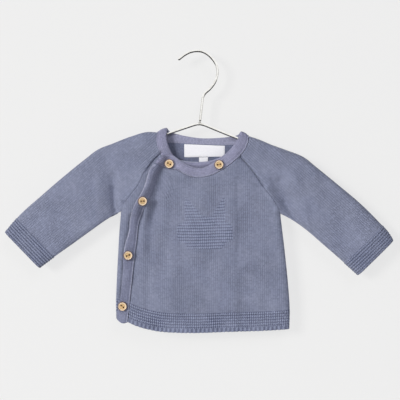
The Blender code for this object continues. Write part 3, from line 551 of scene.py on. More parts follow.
@dataclass
class Wall:
    """A cloth wall over a grid: its outside is fine and carries the stitches, and its inside is coarser."""

    name: str
    middle: Array
    normal: Array
    thickness: float
    lift: Array
    stitches: Array
    band_stitches: Array | None = None
    band_rows: tuple[int, int] = (0, 0)
    inner_fall: Array | float = 0.0
    inner_step: int = 3
    garter_and_highlight_patch: Array | None = None

    def inner_places(self) -> tuple[Array, Array]:
        """Returns the rows and the columns that the inside keeps."""
        rows, columns = self.lift.shape
        keep_rows = sorted({*range(0, rows, self.inner_step), 1, rows - 2, rows - 1})
        keep_columns = sorted({*range(0, columns, self.inner_step), *range(1, min(7, columns)),
                               *range(max(columns - 7, 0), columns)})
        return np.array(keep_rows), np.array(keep_columns)

    def build(self, finishes: Sequence[Material]) -> Object:
        """Makes the wall's object.

        Args:
            finishes: Materials for the plain outside, its garter rows, the inside and, where it has its
                own, the patch. On a band the second is the lighter chain yarn, a painted highlight.

        Returns:
            The object, in metres.
        """
        rows, columns = self.lift.shape
        outer = self.middle + self.normal * (self.thickness / 2 + self.lift)[..., None]
        inner = self.middle - self.normal * np.subtract(self.thickness / 2, self.inner_fall)[..., None]
        keep_rows, keep_columns = self.inner_places()
        inner = inner[np.ix_(keep_rows, keep_columns)]
        outer_at = np.arange(rows * columns).reshape(rows, columns)
        inner_at = rows * columns + np.arange(inner.shape[0] * inner.shape[1]).reshape(inner.shape[:2])

        outer_quads = self.quads(outer_at)
        inner_quads = self.quads(inner_at)[:, ::-1]
        rims: list[tuple[int, int, int]] = []
        row_share, column_share = np.arange(rows) / (rows - 1), np.arange(columns) / (columns - 1)
        for outer_chain, inner_chain, at, keep, turn in (
            (outer_at[0], inner_at[0], column_share, keep_columns, True),
            (outer_at[-1], inner_at[-1], column_share, keep_columns, False),
            (outer_at[:, 0], inner_at[:, 0], row_share, keep_rows, False),
            (outer_at[:, -1], inner_at[:, -1], row_share, keep_rows, True),
        ):
            faces = bridge(outer_chain, inner_chain, at, at[keep])
            rims += [face[::-1] for face in faces] if turn else faces

        points = np.vstack([outer.reshape(-1, 3), inner.reshape(-1, 3)])
        loops = np.concatenate([outer_quads.ravel(), inner_quads.ravel(), np.array(rims).ravel()])
        sizes = np.concatenate([np.full(len(outer_quads) + len(inner_quads), 4), np.full(len(rims), 3)])
        starts = np.concatenate([[0], np.cumsum(sizes)[:-1]])

        plain = np.vstack([self.stitches.reshape(-1, 2),
                           self.stitches[np.ix_(keep_rows, keep_columns)].reshape(-1, 2)])
        corners = plain[loops]
        slots = np.zeros(len(sizes), int)
        quad_rows = np.repeat(np.arange(rows - 1), columns - 1)
        garter = (quad_rows >= self.band_rows[0]) & (quad_rows < self.band_rows[1])
        slots[:len(outer_quads)][garter] = 1
        if self.garter_and_highlight_patch is not None:
            slots[:len(outer_quads)][self.garter_and_highlight_patch[:-1, :-1].ravel()] = 3 if len(finishes) > 3 else 1
        slots[len(outer_quads):len(outer_quads) + len(inner_quads)] = 2
        if self.band_stitches is not None:
            band = np.vstack([self.band_stitches.reshape(-1, 2), np.zeros((inner.shape[0] * inner.shape[1], 2))])
            chosen = np.repeat(slots % 2 == 1, sizes)
            corners[chosen] = band[loops[chosen]]

        mesh = bpy.data.meshes.new(self.name)
        mesh.vertices.add(len(points))
        mesh.vertices.foreach_set("co", (points * MM).astype(np.float32).ravel())
        mesh.loops.add(len(loops))
        mesh.loops.foreach_set("vertex_index", loops.astype(np.int32))
        mesh.polygons.add(len(sizes))
        for name, values in (("loop_start", starts), ("loop_total", sizes), ("material_index", slots)):
            mesh.polygons.foreach_set(name, values.astype(np.int32))
        mesh.update(calc_edges=True)
        layer = mesh.uv_layers.new(name=STITCH_MAP)
        layer.uv.foreach_set("vector", corners.astype(np.float32).ravel())
        mesh.validate()
        return placed(mesh, finishes, sharp=50.0)

    @staticmethod
    def quads(at: Array) -> Array:
        """Returns a grid's quads, facing along the wall's normals."""
        return np.stack([at[:-1, :-1], at[:-1, 1:], at[1:, 1:], at[1:, :-1]], axis=-1).reshape(-1, 4)


def add_object(name: str, data: ID) -> Object:
    """Puts a new object in the scene.

    Args:
        name: Its name.
        data: Its mesh, light or camera.

    Returns:
        The object.
    """
    thing = bpy.data.objects.new(name, data)
    bpy.context.scene.collection.objects.link(thing)
    return thing


def mesh_of(name: str, shape: bmesh.types.BMesh) -> Mesh:
    """Turns a shape into a mesh and frees the shape.

    Args:
        name: The mesh's name.
        shape: The shape.

    Returns:
        The mesh.
    """
    mesh = bpy.data.meshes.new(name)
    shape.to_mesh(mesh)
    shape.free()
    return mesh


def placed(mesh: Mesh, finishes: Sequence[Material], sharp: float) -> Object:
    """Makes an object for a mesh, facing outwards and smooth but for its sharp edges.

    Args:
        mesh: The mesh, in metres.
        finishes: Its materials, in the order of their slots.
        sharp: The angle above which an edge stays sharp, in degrees.

    Returns:
        The object, in the scene, with the mesh's name.
    """
    shape = bmesh.new()
    shape.from_mesh(mesh)
    bmesh.ops.recalc_face_normals(shape, faces=shape.faces)
    shape.to_mesh(mesh)
    shape.free()
    mesh.shade_smooth()
    mesh.set_sharp_from_angle(angle=math.radians(sharp))
    for finish in finishes:
        mesh.materials.append(finish)
    return add_object(mesh.name, mesh)


def joined(piece: Object, *nodes: str, slot: str) -> Object:
    """Puts a piece on the part's one body.

    Args:
        piece: The piece.
        nodes: The solids that it stands for.
        slot: Not used.

    Returns:
        The same piece.
    """
    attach(piece, "root")
    if nodes:
        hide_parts(*nodes)
    LOG.info("%s: %d triangles", piece.name, sum(len(face.vertices) - 2 for face in piece.data.polygons))
    return piece


# --- Finishes ---


def linear(code: str) -> tuple[float, float, float, float]:
    """Turns a colour to Blender's linear values.

    Args:
        code: An sRGB colour, as #rrggbb.

    Returns:
        Linear red, green and blue, and an alpha of 1.
    """
    parts = [int(code[k:k + 2], 16) / 255 for k in (1, 3, 5)]
    red, green, blue = (p / 12.92 if p <= 0.04045 else ((p + 0.055) / 1.055) ** 2.4 for p in parts)
    return red, green, blue, 1.0


Value = float | tuple[float, ...] | NodeSocket
Inputs = dict[str | int, Value]


def connect(tree: NodeTree, node: Node, values: Inputs) -> None:
    """Gives a node's inputs what they take.

    Args:
        tree: The node's tree.
        node: The node.
        values: For each input, by name or number, a value or an output to link from.
    """
    for name, value in values.items():
        if isinstance(value, NodeSocket):
            tree.links.new(value, node.inputs[name])
        else:
            node.inputs[name].default_value = value


def add_node(tree: NodeTree, kind: str, values: Inputs | Sequence[Value] = (), operation: str = "",
             out: int | str = 0, **settings: str) -> NodeSocket:
    """Adds a node with its settings and links.

    Args:
        tree: The tree to add it to.
        kind: Its type, without the leading ShaderNode.
        values: What its inputs take, by name or number, or in their own order.
        operation: What it works out, where it has a choice.
        out: Which of its outputs is wanted.
        **settings: Its own settings.

    Returns:
        The wanted output.
    """
    made = tree.nodes.new("ShaderNode" + kind)
    if operation:
        settings["operation"] = operation
    for name, setting in settings.items():
        setattr(made, name, setting)
    connect(tree, made, values if isinstance(values, dict) else dict(enumerate(values)))
    return made.outputs[out]


@dataclass(frozen=True)
class Finish:
    """A material of one name, whose look each kind of finish draws in its own way."""

    name: str

    def build(self) -> Material:
        """Makes the material.

        Returns:
            The material.
        """
        material = bpy.data.materials.new(self.name)
        material.use_nodes = True
        tree = material.node_tree
        connect(tree, tree.nodes["Principled BSDF"], self.draw(tree))
        return material

    def draw(self, tree: NodeTree) -> Inputs:
        """Draws the look in the material's tree and returns what its main shader takes."""
        raise NotImplementedError


class Stitch(Enum):
    """What the yarn does on a surface."""

    PLAIN = "plain"
    GARTER = "garter"
    PURL = "purl"


@dataclass(frozen=True)
class KnitFinish(Finish):
    """Combed cotton yarn knitted fine: matt, a little downy, with painted shade where its stitches dip.

    The stitch map counts wales across and courses up, so the pattern's size is the gauge's.
    """

    stitch: Stitch
    yarn: str = "#82889f"
    shade: str = "#62677f"
    bloom: str = "#9095aa"
    depth: float = 0.38
    bead_floor: float = 0.2
    speckle: float = 0.14
    wander: float = 0.24
    wander_pitch: float = 6.0
    fibre_pitch: float = 0.8
    mottle_pitch: float = 24.0
    stretch_pitch: float = 38.0
    stretch: tuple[float, float] = (0.6, 1.6)
    mean_height: float = 0.55
    roughness: float = 0.9

    def draw(self, tree: NodeTree) -> Inputs:
        """Draws the stitches, the down on them and the yarn's mottle.

        Args:
            tree: The material's tree.

        Returns:
            What the main shader takes.
        """
        add = partial(add_node, tree)
        place = add("TexCoord", out="Object")
        # The stitches wander by about a tenth of a wale, as hand-washed knitting does.
        drift = add("TexNoise", {"Vector": place, "Scale": 1 / (self.wander_pitch * MM), "Detail": 1.0}, out="Color")
        moved = add("VectorMath", (drift, (self.wander, self.wander, 0.0), add("UVMap", uv_map=STITCH_MAP)),
                    operation="MULTIPLY_ADD")
        wales, courses = add("SeparateXYZ", (moved,)).node.outputs[:2]
        height = self.relief(tree, wales, courses)
        if self.stitch is Stitch.PLAIN:
            # In some patches the cloth is stretched, and its stitches stand apart.
            patches = add("TexNoise", {"Vector": place, "Scale": 1 / (self.stretch_pitch * MM), "Detail": 1.0})
            stretch = add("MapRange", (patches, 0.38, 0.66, *self.stretch))
            above = add("Math", (height, self.mean_height), "SUBTRACT")
            height = add("Math", (above, stretch, self.mean_height), "MULTIPLY_ADD")
        # Each stitch takes the light a little differently.
        cell = add("VectorMath", (moved,), "FLOOR")
        chance = add("TexWhiteNoise", {"Vector": cell}, noise_dimensions="2D")
        # Single fibres are too fine to show, so the down is drawn at 0.8 mm.
        fibre = add("TexNoise", {"Vector": place, "Scale": 1 / (self.fibre_pitch * MM), "Detail": 3.0,
                                 "Roughness": 0.65})
        mottle = add("TexNoise", {"Vector": place, "Scale": 1 / (self.mottle_pitch * MM), "Detail": 2.0})
        # Down in the stitch gaps the yarn turns to the shade colour: painted shade.
        tone = add("MapRange", (height, 0.05, 0.8, 0.0, 1.0))
        yarn = add("Mix", {0: tone, 6: linear(self.shade), 7: linear(self.yarn)}, out=2, data_type="RGBA")
        patch = add("MapRange", (mottle, 0.35, 0.68, 0.0, 0.28))
        bloom = add("Mix", {0: patch, 6: yarn, 7: linear(self.bloom)}, out=2, data_type="RGBA")
        uneven = add("Math", (chance, 0.6, fibre), "MULTIPLY_ADD")
        speck = add("MapRange", (uneven, 0.4, 1.2, 1 - self.speckle, 1 + self.speckle))
        raised = add("Math", (uneven, 0.22, height), "MULTIPLY_ADD")
        return {"Base Color": add("VectorMath", {0: bloom, "Scale": speck}, "SCALE"),
                "Normal": add("Bump", {"Height": raised, "Strength": 1.0, "Distance": self.depth * MM}),
                "Roughness": self.roughness, "Specular IOR Level": 0.25, "Sheen Weight": 0.18,
                "Sheen Roughness": 0.5}

    def relief(self, tree: NodeTree, wales: Value, courses: Value) -> NodeSocket:
        """Draws the stitches' height.

        Args:
            tree: The material's tree.
            wales: The place across, in wales.
            courses: The place up, in courses.

        Returns:
            The height, from 0 in the gaps to 1 on the yarn.
        """
        add = partial(add_node, tree)
        across = add("Math", (add("Math", (wales, 0.5), "PINGPONG"), 2.0), "MULTIPLY")
        if self.stitch is Stitch.PLAIN:
            slant = add("Math", (across, 0.55, courses), "MULTIPLY_ADD")
            leg = add("Math", (add("Math", (slant, 0.5), "PINGPONG"), 2.0), "MULTIPLY")
            gap = add("MapRange", (across, 0.0, 0.45, 0.28, 1.0), interpolation_type="SMOOTHSTEP")
            heart = add("MapRange", (across, 0.75, 1.0, 1.0, 0.7), interpolation_type="SMOOTHSTEP")
            body = add("Math", (add("Math", (leg,), "SQRT"), 0.7, 0.3), "MULTIPLY_ADD")
            return add("Math", (add("Math", (gap, heart), "MULTIPLY"), body), "MULTIPLY")
        turn = add("Math", (wales, math.tau), "MULTIPLY")
        wave = add("Math", (turn,), "SINE")
        if self.stitch is Stitch.GARTER:
            bent = add("Math", (wave, 0.2, courses), "MULTIPLY_ADD")
            ridge = add("Math", (add("Math", (bent, 1.0), "PINGPONG"),), "SQRT")
            bead = add("MapRange", (across, 0.0, 0.75, self.bead_floor, 1.0), interpolation_type="SMOOTHSTEP")
            upright = add("Math", (wales, 1.0), "PINGPONG")
            bar = add("Math", (upright, -0.45, 0.66), "MULTIPLY_ADD")
            at_edge = add("Math", (courses, CAST_ON), "LESS_THAN")
            return add("Mix", {0: at_edge, 2: add("Math", (ridge, bead), "MULTIPLY"), 3: bar})
        bent = add("Math", (wave, 0.16, courses), "MULTIPLY_ADD")
        row = add("Math", (add("Math", (bent, 0.5), "PINGPONG"), 2.0), "MULTIPLY")
        bead = add("Math", (across, 0.25, 0.75), "MULTIPLY_ADD")
        return add("Math", (add("Math", (row,), "SQRT"), bead), "MULTIPLY")


@dataclass(frozen=True)
class WoodFinish(Finish):
    """Turned boxwood, waxed: pale, with fine straight grain and a soft gloss."""

    light: str
    dark: str
    grain_pitch: float = 0.55
    along_grain: float = 0.12
    roughness: float = 0.42

    def draw(self, tree: NodeTree) -> Inputs:
        """Draws the grain and the growth rings.

        Args:
            tree: The material's tree.

        Returns:
            What the main shader takes.
        """
        add = partial(add_node, tree)
        place = add("UVMap", uv_map=STITCH_MAP)
        # The map is in millimetres, with the grain along its second axis.
        pitch = (1 / self.grain_pitch, self.along_grain / self.grain_pitch, 1.0)
        stretched = add("VectorMath", (place, pitch), "MULTIPLY")
        grain = add("TexNoise", {"Vector": stretched, "Scale": 1.0, "Detail": 3.0, "Roughness": 0.6},
                    noise_dimensions="2D")
        rings = add("TexWave", {"Vector": place, "Scale": 0.16, "Distortion": 2.2, "Detail": 1.5,
                                "Detail Scale": 0.6}, out="Fac", bands_direction="X")
        mixed = add("Math", (rings, 0.35, grain), "MULTIPLY_ADD")
        share = add("MapRange", (mixed, 0.35, 0.95, 0.0, 0.75))
        return {"Base Color": add("Mix", {0: share, 6: linear(self.light), 7: linear(self.dark)}, out=2,
                                  data_type="RGBA"),
                "Normal": add("Bump", {"Height": grain, "Strength": 0.5, "Distance": 0.05 * MM}),
                "Roughness": add("MapRange", (grain, 0.3, 0.7, self.roughness, self.roughness + 0.14)),
                "IOR": 1.5}


@dataclass(frozen=True)
class TapeFinish(Finish):
    """Polyester label tape, woven in satin: white with a faint cross-rib and a soft shine."""

    name: str = "woven_satin_tape"
    thread: str = "#fdfdff"
    gap: str = "#e6e6ee"
    rib_pitch: float = 0.9
    roughness: float = 0.55

    def draw(self, tree: NodeTree) -> Inputs:
        """Draws the weave.

        Args:
            tree: The material's tree.

        Returns:
            What the main shader takes.
        """
        add = partial(add_node, tree)
        place = add("UVMap", uv_map=STITCH_MAP)
        # Real picks lie 0.3 mm apart, too fine to show, so the rib is drawn at 0.9 mm.
        ribs = []
        for way in add("SeparateXYZ", (place,)).node.outputs[:2]:
            counted = add("Math", (way, self.rib_pitch), "DIVIDE")
            ribs.append(add("Math", (counted, 0.5), "PINGPONG"))
        weave = add("Math", ribs, "ADD")
        uneven = add("TexNoise", {"Vector": place, "Scale": 0.45, "Detail": 3.0}, noise_dimensions="2D")
        share = add("Math", (weave, uneven), "MULTIPLY")
        return {"Base Color": add("Mix", {0: share, 6: linear(self.gap), 7: linear(self.thread)}, out=2,
                                  data_type="RGBA"),
                "Normal": add("Bump", {"Height": weave, "Strength": 0.7, "Distance": 0.1 * MM}),
                "Roughness": self.roughness, "Sheen Weight": 0.15}


@dataclass(frozen=True)
class ThreadFinish(Finish):
    """Sewing thread, spun polyester: two plies that show as a fine slanting twist."""

    colour: str
    shade: str
    twist_pitch: float = 0.5
    roughness: float = 0.7

    def draw(self, tree: NodeTree) -> Inputs:
        """Draws the twist.

        Args:
            tree: The material's tree.

        Returns:
            What the main shader takes.
        """
        add = partial(add_node, tree)
        # Real plies turn closer than this. A wave at scale 1 has 20 bands to a metre.
        twist = add("TexWave", {"Vector": add("TexCoord", out="Object"), "Distortion": 1.0,
                                "Scale": 1 / (self.twist_pitch * MM * 20)}, out="Fac", bands_direction="DIAGONAL")
        return {"Base Color": add("Mix", {0: twist, 6: linear(self.shade), 7: linear(self.colour)}, out=2,
                                  data_type="RGBA"),
                "Normal": add("Bump", {"Height": twist, "Strength": 0.6, "Distance": 0.1 * MM}),
                "Roughness": self.roughness}


@dataclass(frozen=True)
class WireFinish(Finish):
    """Drawn steel wire, nickel plated: bright, with faint draw lines and handling marks."""

    name: str = "nickel_plated_wire"
    metal: str = "#e4e3e0"
    dull: str = "#cbc8c2"
    roughness: float = 0.12
    mark_pitch: float = 4.0
    line_pitch: float = 0.4

    def draw(self, tree: NodeTree) -> Inputs:
        """Draws the marks and the draw lines.

        Args:
            tree: The material's tree.

        Returns:
            What the main shader takes.
        """
        add = partial(add_node, tree)
        place = add("TexCoord", out="Object")
        # Real draw lines are finer, and are drawn as coarse as they need to show.
        marks = add("TexNoise", {"Vector": place, "Scale": 1 / (self.mark_pitch * MM), "Detail": 4.0})
        lines = add("TexNoise", {"Vector": place, "Scale": 1 / (self.line_pitch * MM), "Detail": 1.0})
        share = add("MapRange", (marks, 0.45, 0.7, 0.0, 0.6))
        return {"Base Color": add("Mix", {0: share, 6: linear(self.metal), 7: linear(self.dull)}, out=2,
                                  data_type="RGBA"),
                "Roughness": add("Math", (share, 0.16, self.roughness), "MULTIPLY_ADD"),
                "Normal": add("Bump", {"Height": lines, "Strength": 0.15, "Distance": 0.01 * MM}),
                "Metallic": 1.0}


@dataclass(frozen=True)
class WallFinish(Finish):
    """Matt wall paint, lit evenly along its whole face, so shadows on it stay faint.

    Seen from behind it is clear, so the back stays in view.
    """

    name: str = "matt_wall_paint"
    colour: str = "#646464"
    glow: float = 0.72

    def draw(self, tree: NodeTree) -> Inputs:
        """Paints the wall, and makes it clear from behind.

        Args:
            tree: The material's tree.

        Returns:
            What the main shader takes.
        """
        shader, end = tree.nodes["Principled BSDF"], tree.nodes["Material Output"]
        behind = add_node(tree, "NewGeometry", out="Backfacing")
        clear = add_node(tree, "BsdfTransparent")
        connect(tree, end, {"Surface": add_node(tree, "MixShader", (behind, shader.outputs[0], clear))})
        return {"Base Color": linear(self.colour), "Roughness": 1.0, "Specular IOR Level": 0.0,
                "Emission Color": (1.0, 1.0, 1.0, 1.0), "Emission Strength": self.glow}


@dataclass
class Wardrobe:
    """All the finishes, made once."""

    def __post_init__(self) -> None:
        """Makes the materials."""
        plain = KnitFinish("combed_cotton_stockinette", Stitch.PLAIN)
        sleeve = KnitFinish("combed_cotton_sleeve", Stitch.PLAIN, yarn="#878da5", depth=0.5, stretch=(0.6, 1.35))
        garter = KnitFinish("combed_cotton_garter", Stitch.GARTER, yarn="#8d94ad", shade="#373c57", depth=0.42,
                            bloom="#9298b0")
        rows = replace(garter, name="combed_cotton_garter_rows", shade="#3c415c", depth=0.4, bead_floor=0.42)
        cuff = KnitFinish("combed_cotton_cuff", Stitch.GARTER, yarn="#8087a0", shade="#333852", depth=0.4,
                          bead_floor=0.6)
        # The inside's yarn is a darker copy of the outside's: painted shade inside the garment and the neck.
        purl = KnitFinish("combed_cotton_reverse_painted_shade", Stitch.PURL, yarn="#737992", shade="#52576f", depth=0.4,
                          bloom="#7c8198").build()
        self.body = [plain.build(), garter.build(), purl, rows.build()]
        self.sleeve = [sleeve.build(), cuff.build(), purl]
        band = KnitFinish("combed_cotton_band", Stitch.PLAIN, yarn="#9192ac", shade="#71718f", bloom="#9d9fb6",
                          depth=0.25)
        lining = KnitFinish("combed_cotton_band_inside", Stitch.PURL, yarn="#9a9cb4", shade="#7a7b97",
                            bloom="#a3a4bb", depth=0.3)
        placket = KnitFinish("combed_cotton_placket", Stitch.PLAIN, yarn="#7e829b", shade="#5e617a", depth=0.3)
        # The chain yarn is a lighter copy of the band's: a painted highlight on the chained ridge, the selvedge and
        # the rolled neck edge.
        chain = KnitFinish("combed_cotton_chain_painted_highlight", Stitch.PURL, yarn="#999cb2", shade="#787c95", bloom="#a0a3b9",
                           depth=0.3).build()
        self.band = [band.build(), chain, lining.build()]
        self.placket = [placket.build(), chain, purl]
        # The rim's pale wood is a painted highlight, and the dark end grain is partly painted shade.
        self.wood = [WoodFinish("turned_boxwood_" + part, light, dark).build() for part, light, dark in (
            ("dish", "#d4b98e", "#b38b5c"), ("rim", "#ece0d0", "#d8bf9e"), ("end_grain_and_painted_shade", "#74503a", "#452c1e"))]
        self.tape = TapeFinish().build()
        # The thread in the holes is a darker copy of it: painted shade.
        self.button_thread = [ThreadFinish("button_thread", "#b08b60", "#8a6744").build(),
                              ThreadFinish("button_thread_in_shade", "#37241a", "#241710").build()]
        self.label_thread = ThreadFinish("label_thread", "#dcdce6", "#b9b9c8").build()
        self.wire = WireFinish().build()
        self.solder = WireFinish("tin_solder", "#e0dfdc", "#d2d0cb", 0.5).build()


# --- Body panels ---


def raglan_marks(line: Array) -> Array:
    """Returns the distances from the armpit, along a raglan seam, that pair with the hem's."""
    return np.concatenate([ROUND[::2], np.linspace(ROUND[-1], lengths(line)[-1], 6)[1:]])


def hem_marks(line: Array, share: float = 58.0) -> Array:
    """Pairs places along the hem with those along a raglan seam.

    Args:
        line: The raglan seam.
        share: How far in from the side seam the last place lies.

    Returns:
        The distances in from the side seam, along the hem.
    """
    done, round_end = raglan_marks(line), ROUND[-1]
    stretch = (share - round_end) / (done[-1] - round_end)
    return np.where(done <= round_end, done, round_end + (done - round_end) * stretch)


def paired(hem: Array, left: Array | None, neck: Array, right: Array | None) -> tuple[Array, Array, Array]:
    """Pairs places along a hem with places along the raglan seams and the neck above it.

    Args:
        hem: The hem.
        left: The left raglan seam, from the armpit up, where there is one.
        neck: The neck's seam, from left to right.
        right: The right raglan seam, from the armpit up, where there is one.

    Returns:
        The whole top from left to right, and the distances along hem and top that pair.
    """
    total, neck_at = lengths(hem)[-1], lengths(neck)[::3]
    hem_marked, top_marked = [np.zeros(1)], [np.zeros(1)]
    before, after = 0.0, 0.0
    if left is not None:
        hem_marked, top_marked, before = [hem_marks(left)], [raglan_marks(left)], lengths(left)[-1]
    ends = np.array([total]), np.zeros(1)
    if right is not None:
        ends, after = (total - hem_marks(right)[::-1], raglan_marks(right)[::-1]), lengths(right)[-1]
    plain = np.linspace(hem_marked[0][-1], ends[0][0], len(neck_at))
    hem_marked += [plain[1:-1], ends[0]]
    top_marked += [before + neck_at[1:-1], before + neck_at[-1] + after - ends[1]]
    top = [neck[:1] if left is None else left, neck[1:-1], neck[-1:] if right is None else right[::-1]]
    return np.vstack(top), np.concatenate(hem_marked), np.concatenate(top_marked)


def station_lines(rows: Rows) -> tuple[Array, Array]:
    """Returns the seam and edge curves of a neckband's stations, six steps to a station."""
    table = np.asarray(rows, float)
    return smooth(table[:, :2], 6), smooth(table[:, 2:], 6)


def coons(bottom: Array, top: Array, left: Array, right: Array, across: Array) -> Array:
    """Fills four sides with a grid.

    Args:
        bottom: x, z points along the bottom, one a column.
        top: The same along the top.
        left: x, z points up the left, one a row.
        right: The same up the right.
        across: Each column's place between left and right, from 0 to 1.

    Returns:
        The grid of x, z points.
    """
    up = np.linspace(0, 1, len(left))[:, None, None]
    side = across[None, :, None]
    # How far each side bends away from the straight line between its ends.
    bends = [(line - (1 - up[:, 0]) * line[0] - up[:, 0] * line[-1])[:, None] for line in (left, right)]
    return (1 - up) * bottom[None] + up * top[None] + (1 - side) * bends[0] + side * bends[1]


@dataclass
class Panel:
    """A body panel, knitted up from a garter hem to its raglan seams and neck."""

    name: str
    side: Side
    hem: Array
    top: Array
    hem_marks: Array
    top_marks: Array
    left: Array
    right: Array
    left_edge: Edge
    right_edge: Edge
    flat: tuple[float, float]
    area: float
    rests_on: tuple[str, ...]
    gauge: Gauge = field(default_factory=Gauge)
    across_step: float = 1.375
    up_step: float = 0.95
    patch_rows: int = 60
    side_fade: float = 7.0

    def grid(self) -> tuple[Array, Array, Array]:
        """Lays out the panel's points.

        Returns:
            The grid of x, z points, each column's place in wales, and each point's in courses.
        """
        total = lengths(self.hem)[-1]
        at = spaced(total, self.across_step, self.left_edge, self.right_edge)
        bottom = along(self.hem, at)
        top = along(self.top, np.interp(at, self.hem_marks, self.top_marks))
        count = len(self.hem_marks) - 1
        across = np.interp(at, self.hem_marks, np.arange(count + 1)) / count
        left, right = (along(line, np.linspace(0, lengths(line)[-1], self.patch_rows))
                       for line in (self.left, self.right))
        dense = coons(bottom, top, left, right, across)
        gauge = self.gauge
        band = np.linspace(0, gauge.hem, 6 * gauge.ridges + 1)
        longest = max(lengths(dense[:, k])[-1] for k in range(0, len(at), 8))
        steps = int((longest - gauge.hem) / self.up_step)
        columns, counted = [], []
        for line in dense.swapaxes(0, 1):
            length = lengths(line)[-1]
            rest = np.linspace(gauge.hem, length - self.up_step, steps)[1:]
            distance = np.concatenate([band, rest, length - np.array(NEAR[::-1])])
            columns.append(along(line, distance))
            counted.append(np.where(distance <= gauge.hem, distance * 2 * gauge.ridges / gauge.hem,
                                    2 * gauge.ridges + (distance - gauge.hem) / gauge.course))
        grid, wales, courses = np.stack(columns, axis=1), at / gauge.wale, np.stack(counted, axis=1)
        # The cast-on edge is scalloped, but not beside the side seams.
        clear = np.clip(np.minimum(at, total - at) / 8.0 - 0.4, 0, 1)
        cast_on = np.clip(1 - courses / gauge.cast_on, 0, 1)
        grid[..., 1] -= gauge.scallop * (np.cos(np.pi * wales) * clear)[None] * cast_on
        return grid, wales, courses

    def relief(self, grid: Array, wales: Array, courses: Array) -> Array:
        """Raises the garter ridges and the wales, and rounds the edges down to the seams.

        Args:
            grid: The panel's x, z points.
            wales: Each column's place in wales.
            courses: Each point's place in courses.

        Returns:
            How far the outside is lifted at each point, in millimetres.
        """
        gauge = self.gauge
        band = 2 * gauge.ridges
        ridge, bead = gauge.garter(wales[None], courses)
        in_band = np.clip((band - courses) / 0.3, 0, 1)
        # The band's first ridge runs on more evenly and stands up more.
        lift = gauge.ridge_lift * ridge * np.where(courses > band - 2, 1.0 + 0.3 * bead, bead) * in_band
        lift = gauge.cast_on_bars(lift, wales[None], courses)
        from_left, from_hem = gone(grid), gone(grid, 0)
        for distance, edge in ((from_left, self.left_edge), (from_left[:, -1:] - from_left, self.right_edge)):
            if edge is Edge.CLOSING:
                # The ridges flatten where the side turns over.
                lift = lift * (0.3 + 0.7 * ramp(distance / self.side_fade))
            lift = lift - edge_fall(distance, edge)
        return lift - edge_fall(from_hem[-1:] - from_hem, Edge.LINKED) - edge_fall(from_hem, Edge.FREE)

    def patch(self, grid: Array) -> Array | None:
        """Returns which of the grid's points lie in a garter patch above the hem, where there is one."""
        return None

    def build(self, wardrobe: Wardrobe) -> tuple[Object, Array]:
        """Makes the panel.

        Args:
            wardrobe: The finishes.

        Returns:
            The panel's object, and its grid of x, z points.
        """
        grid, wales, courses = self.grid()
        middle, normal = self.side.place(grid)
        # The wales run straight up, and the shaped edges cut across them.
        stitches = np.stack([grid[..., 0] / self.gauge.wale, courses], axis=-1)
        by_column = np.stack([np.broadcast_to(wales[None], courses.shape), courses], axis=-1)
        wall = Wall(self.name, middle, normal, self.gauge.wall, self.relief(grid, wales, courses), stitches,
                    by_column, band_rows=(0, 6 * self.gauge.ridges), garter_and_highlight_patch=self.patch(grid))
        return wall.build(wardrobe.body), grid


@dataclass
class MotifPanel(Panel):
    """The over front, with a cat's head worked on its chest in purl ridges."""

    head_x: float = 9.5
    head_z: tuple[float, float] = (-256.0, -214.0)
    brow: float = 25.5
    cheek: float = 10.5
    cheek_z: float = -234.5
    ears_out: float = 26.0
    ears_in: tuple[float, float] = (-5.0, 11.5)
    ear_tip_z: float = -190.5
    motif_lift: float = 0.5
    stretched: tuple[float, float] = (-40.0, -176.0)
    stretch_reach: tuple[float, float] = (16.0, 27.0)
    stretch_lift: float = 0.28
    hidden_from_z: float = -218.0

    def relief(self, grid: Array, wales: Array, courses: Array) -> Array:
        """Adds the purl ridges to the panel's own relief.

        Args:
            grid: The panel's x, z points.
            wales: Each column's place in wales.
            courses: Each point's place in courses.

        Returns:
            How far the outside is lifted at each point, in millimetres.
        """
        lift = super().relief(grid, wales, courses)
        # In the deep fold beside the band's top its seam hardly shows.
        hidden = 0.8 * ramp((grid[:, :1, 1] - self.hidden_from_z) / 22.0)
        lift = lift + hidden * edge_fall(gone(grid), self.left_edge)
        ridge, bead = self.gauge.garter(wales[None], courses)
        # Beside that fold the cloth is stretched, so its wales stand apart.
        away = np.linalg.norm((grid - self.stretched) / self.stretch_reach, axis=-1)
        lift = lift + self.stretch_lift * np.exp(-away**4) * np.cos(math.tau * wales)[None]
        return lift + self.patch(grid) * (self.motif_lift * ridge * (0.35 + 0.65 * bead) - 0.15)

    def patch(self, grid: Array) -> Array:
        """Draws the cat's head and its two ears.

        Args:
            grid: The panel's x, z points.

        Returns:
            Which of them lie in the motif.
        """
        across, z = grid[..., 0] - self.head_x, grid[..., 1]
        low, high = self.head_z
        bulge = np.clip(1.25 - np.abs((z - self.cheek_z) / 13.0) ** 3, 0, 1)
        chin = np.clip((z - low) / 6.0, 0, 1) * 4.0 - 4.0
        inside = (np.abs(across) < self.brow + self.cheek * bulge + chin) & (z > low) & (z < high)
        height = np.clip((z - high) / (self.ear_tip_z - high), 0, 1)
        for sign, inner in zip((-1, 1), self.ears_in):
            # Each ear stands straight up outside and slants inside.
            slant = self.ears_out + (abs(inner) - self.ears_out) * (1 - height)
            ear = (sign * across < self.ears_out) & (sign * across > slant - 3.0) & (height < 1)
            inside = inside | (ear & (z >= high))
        return inside


# --- Sleeves ---


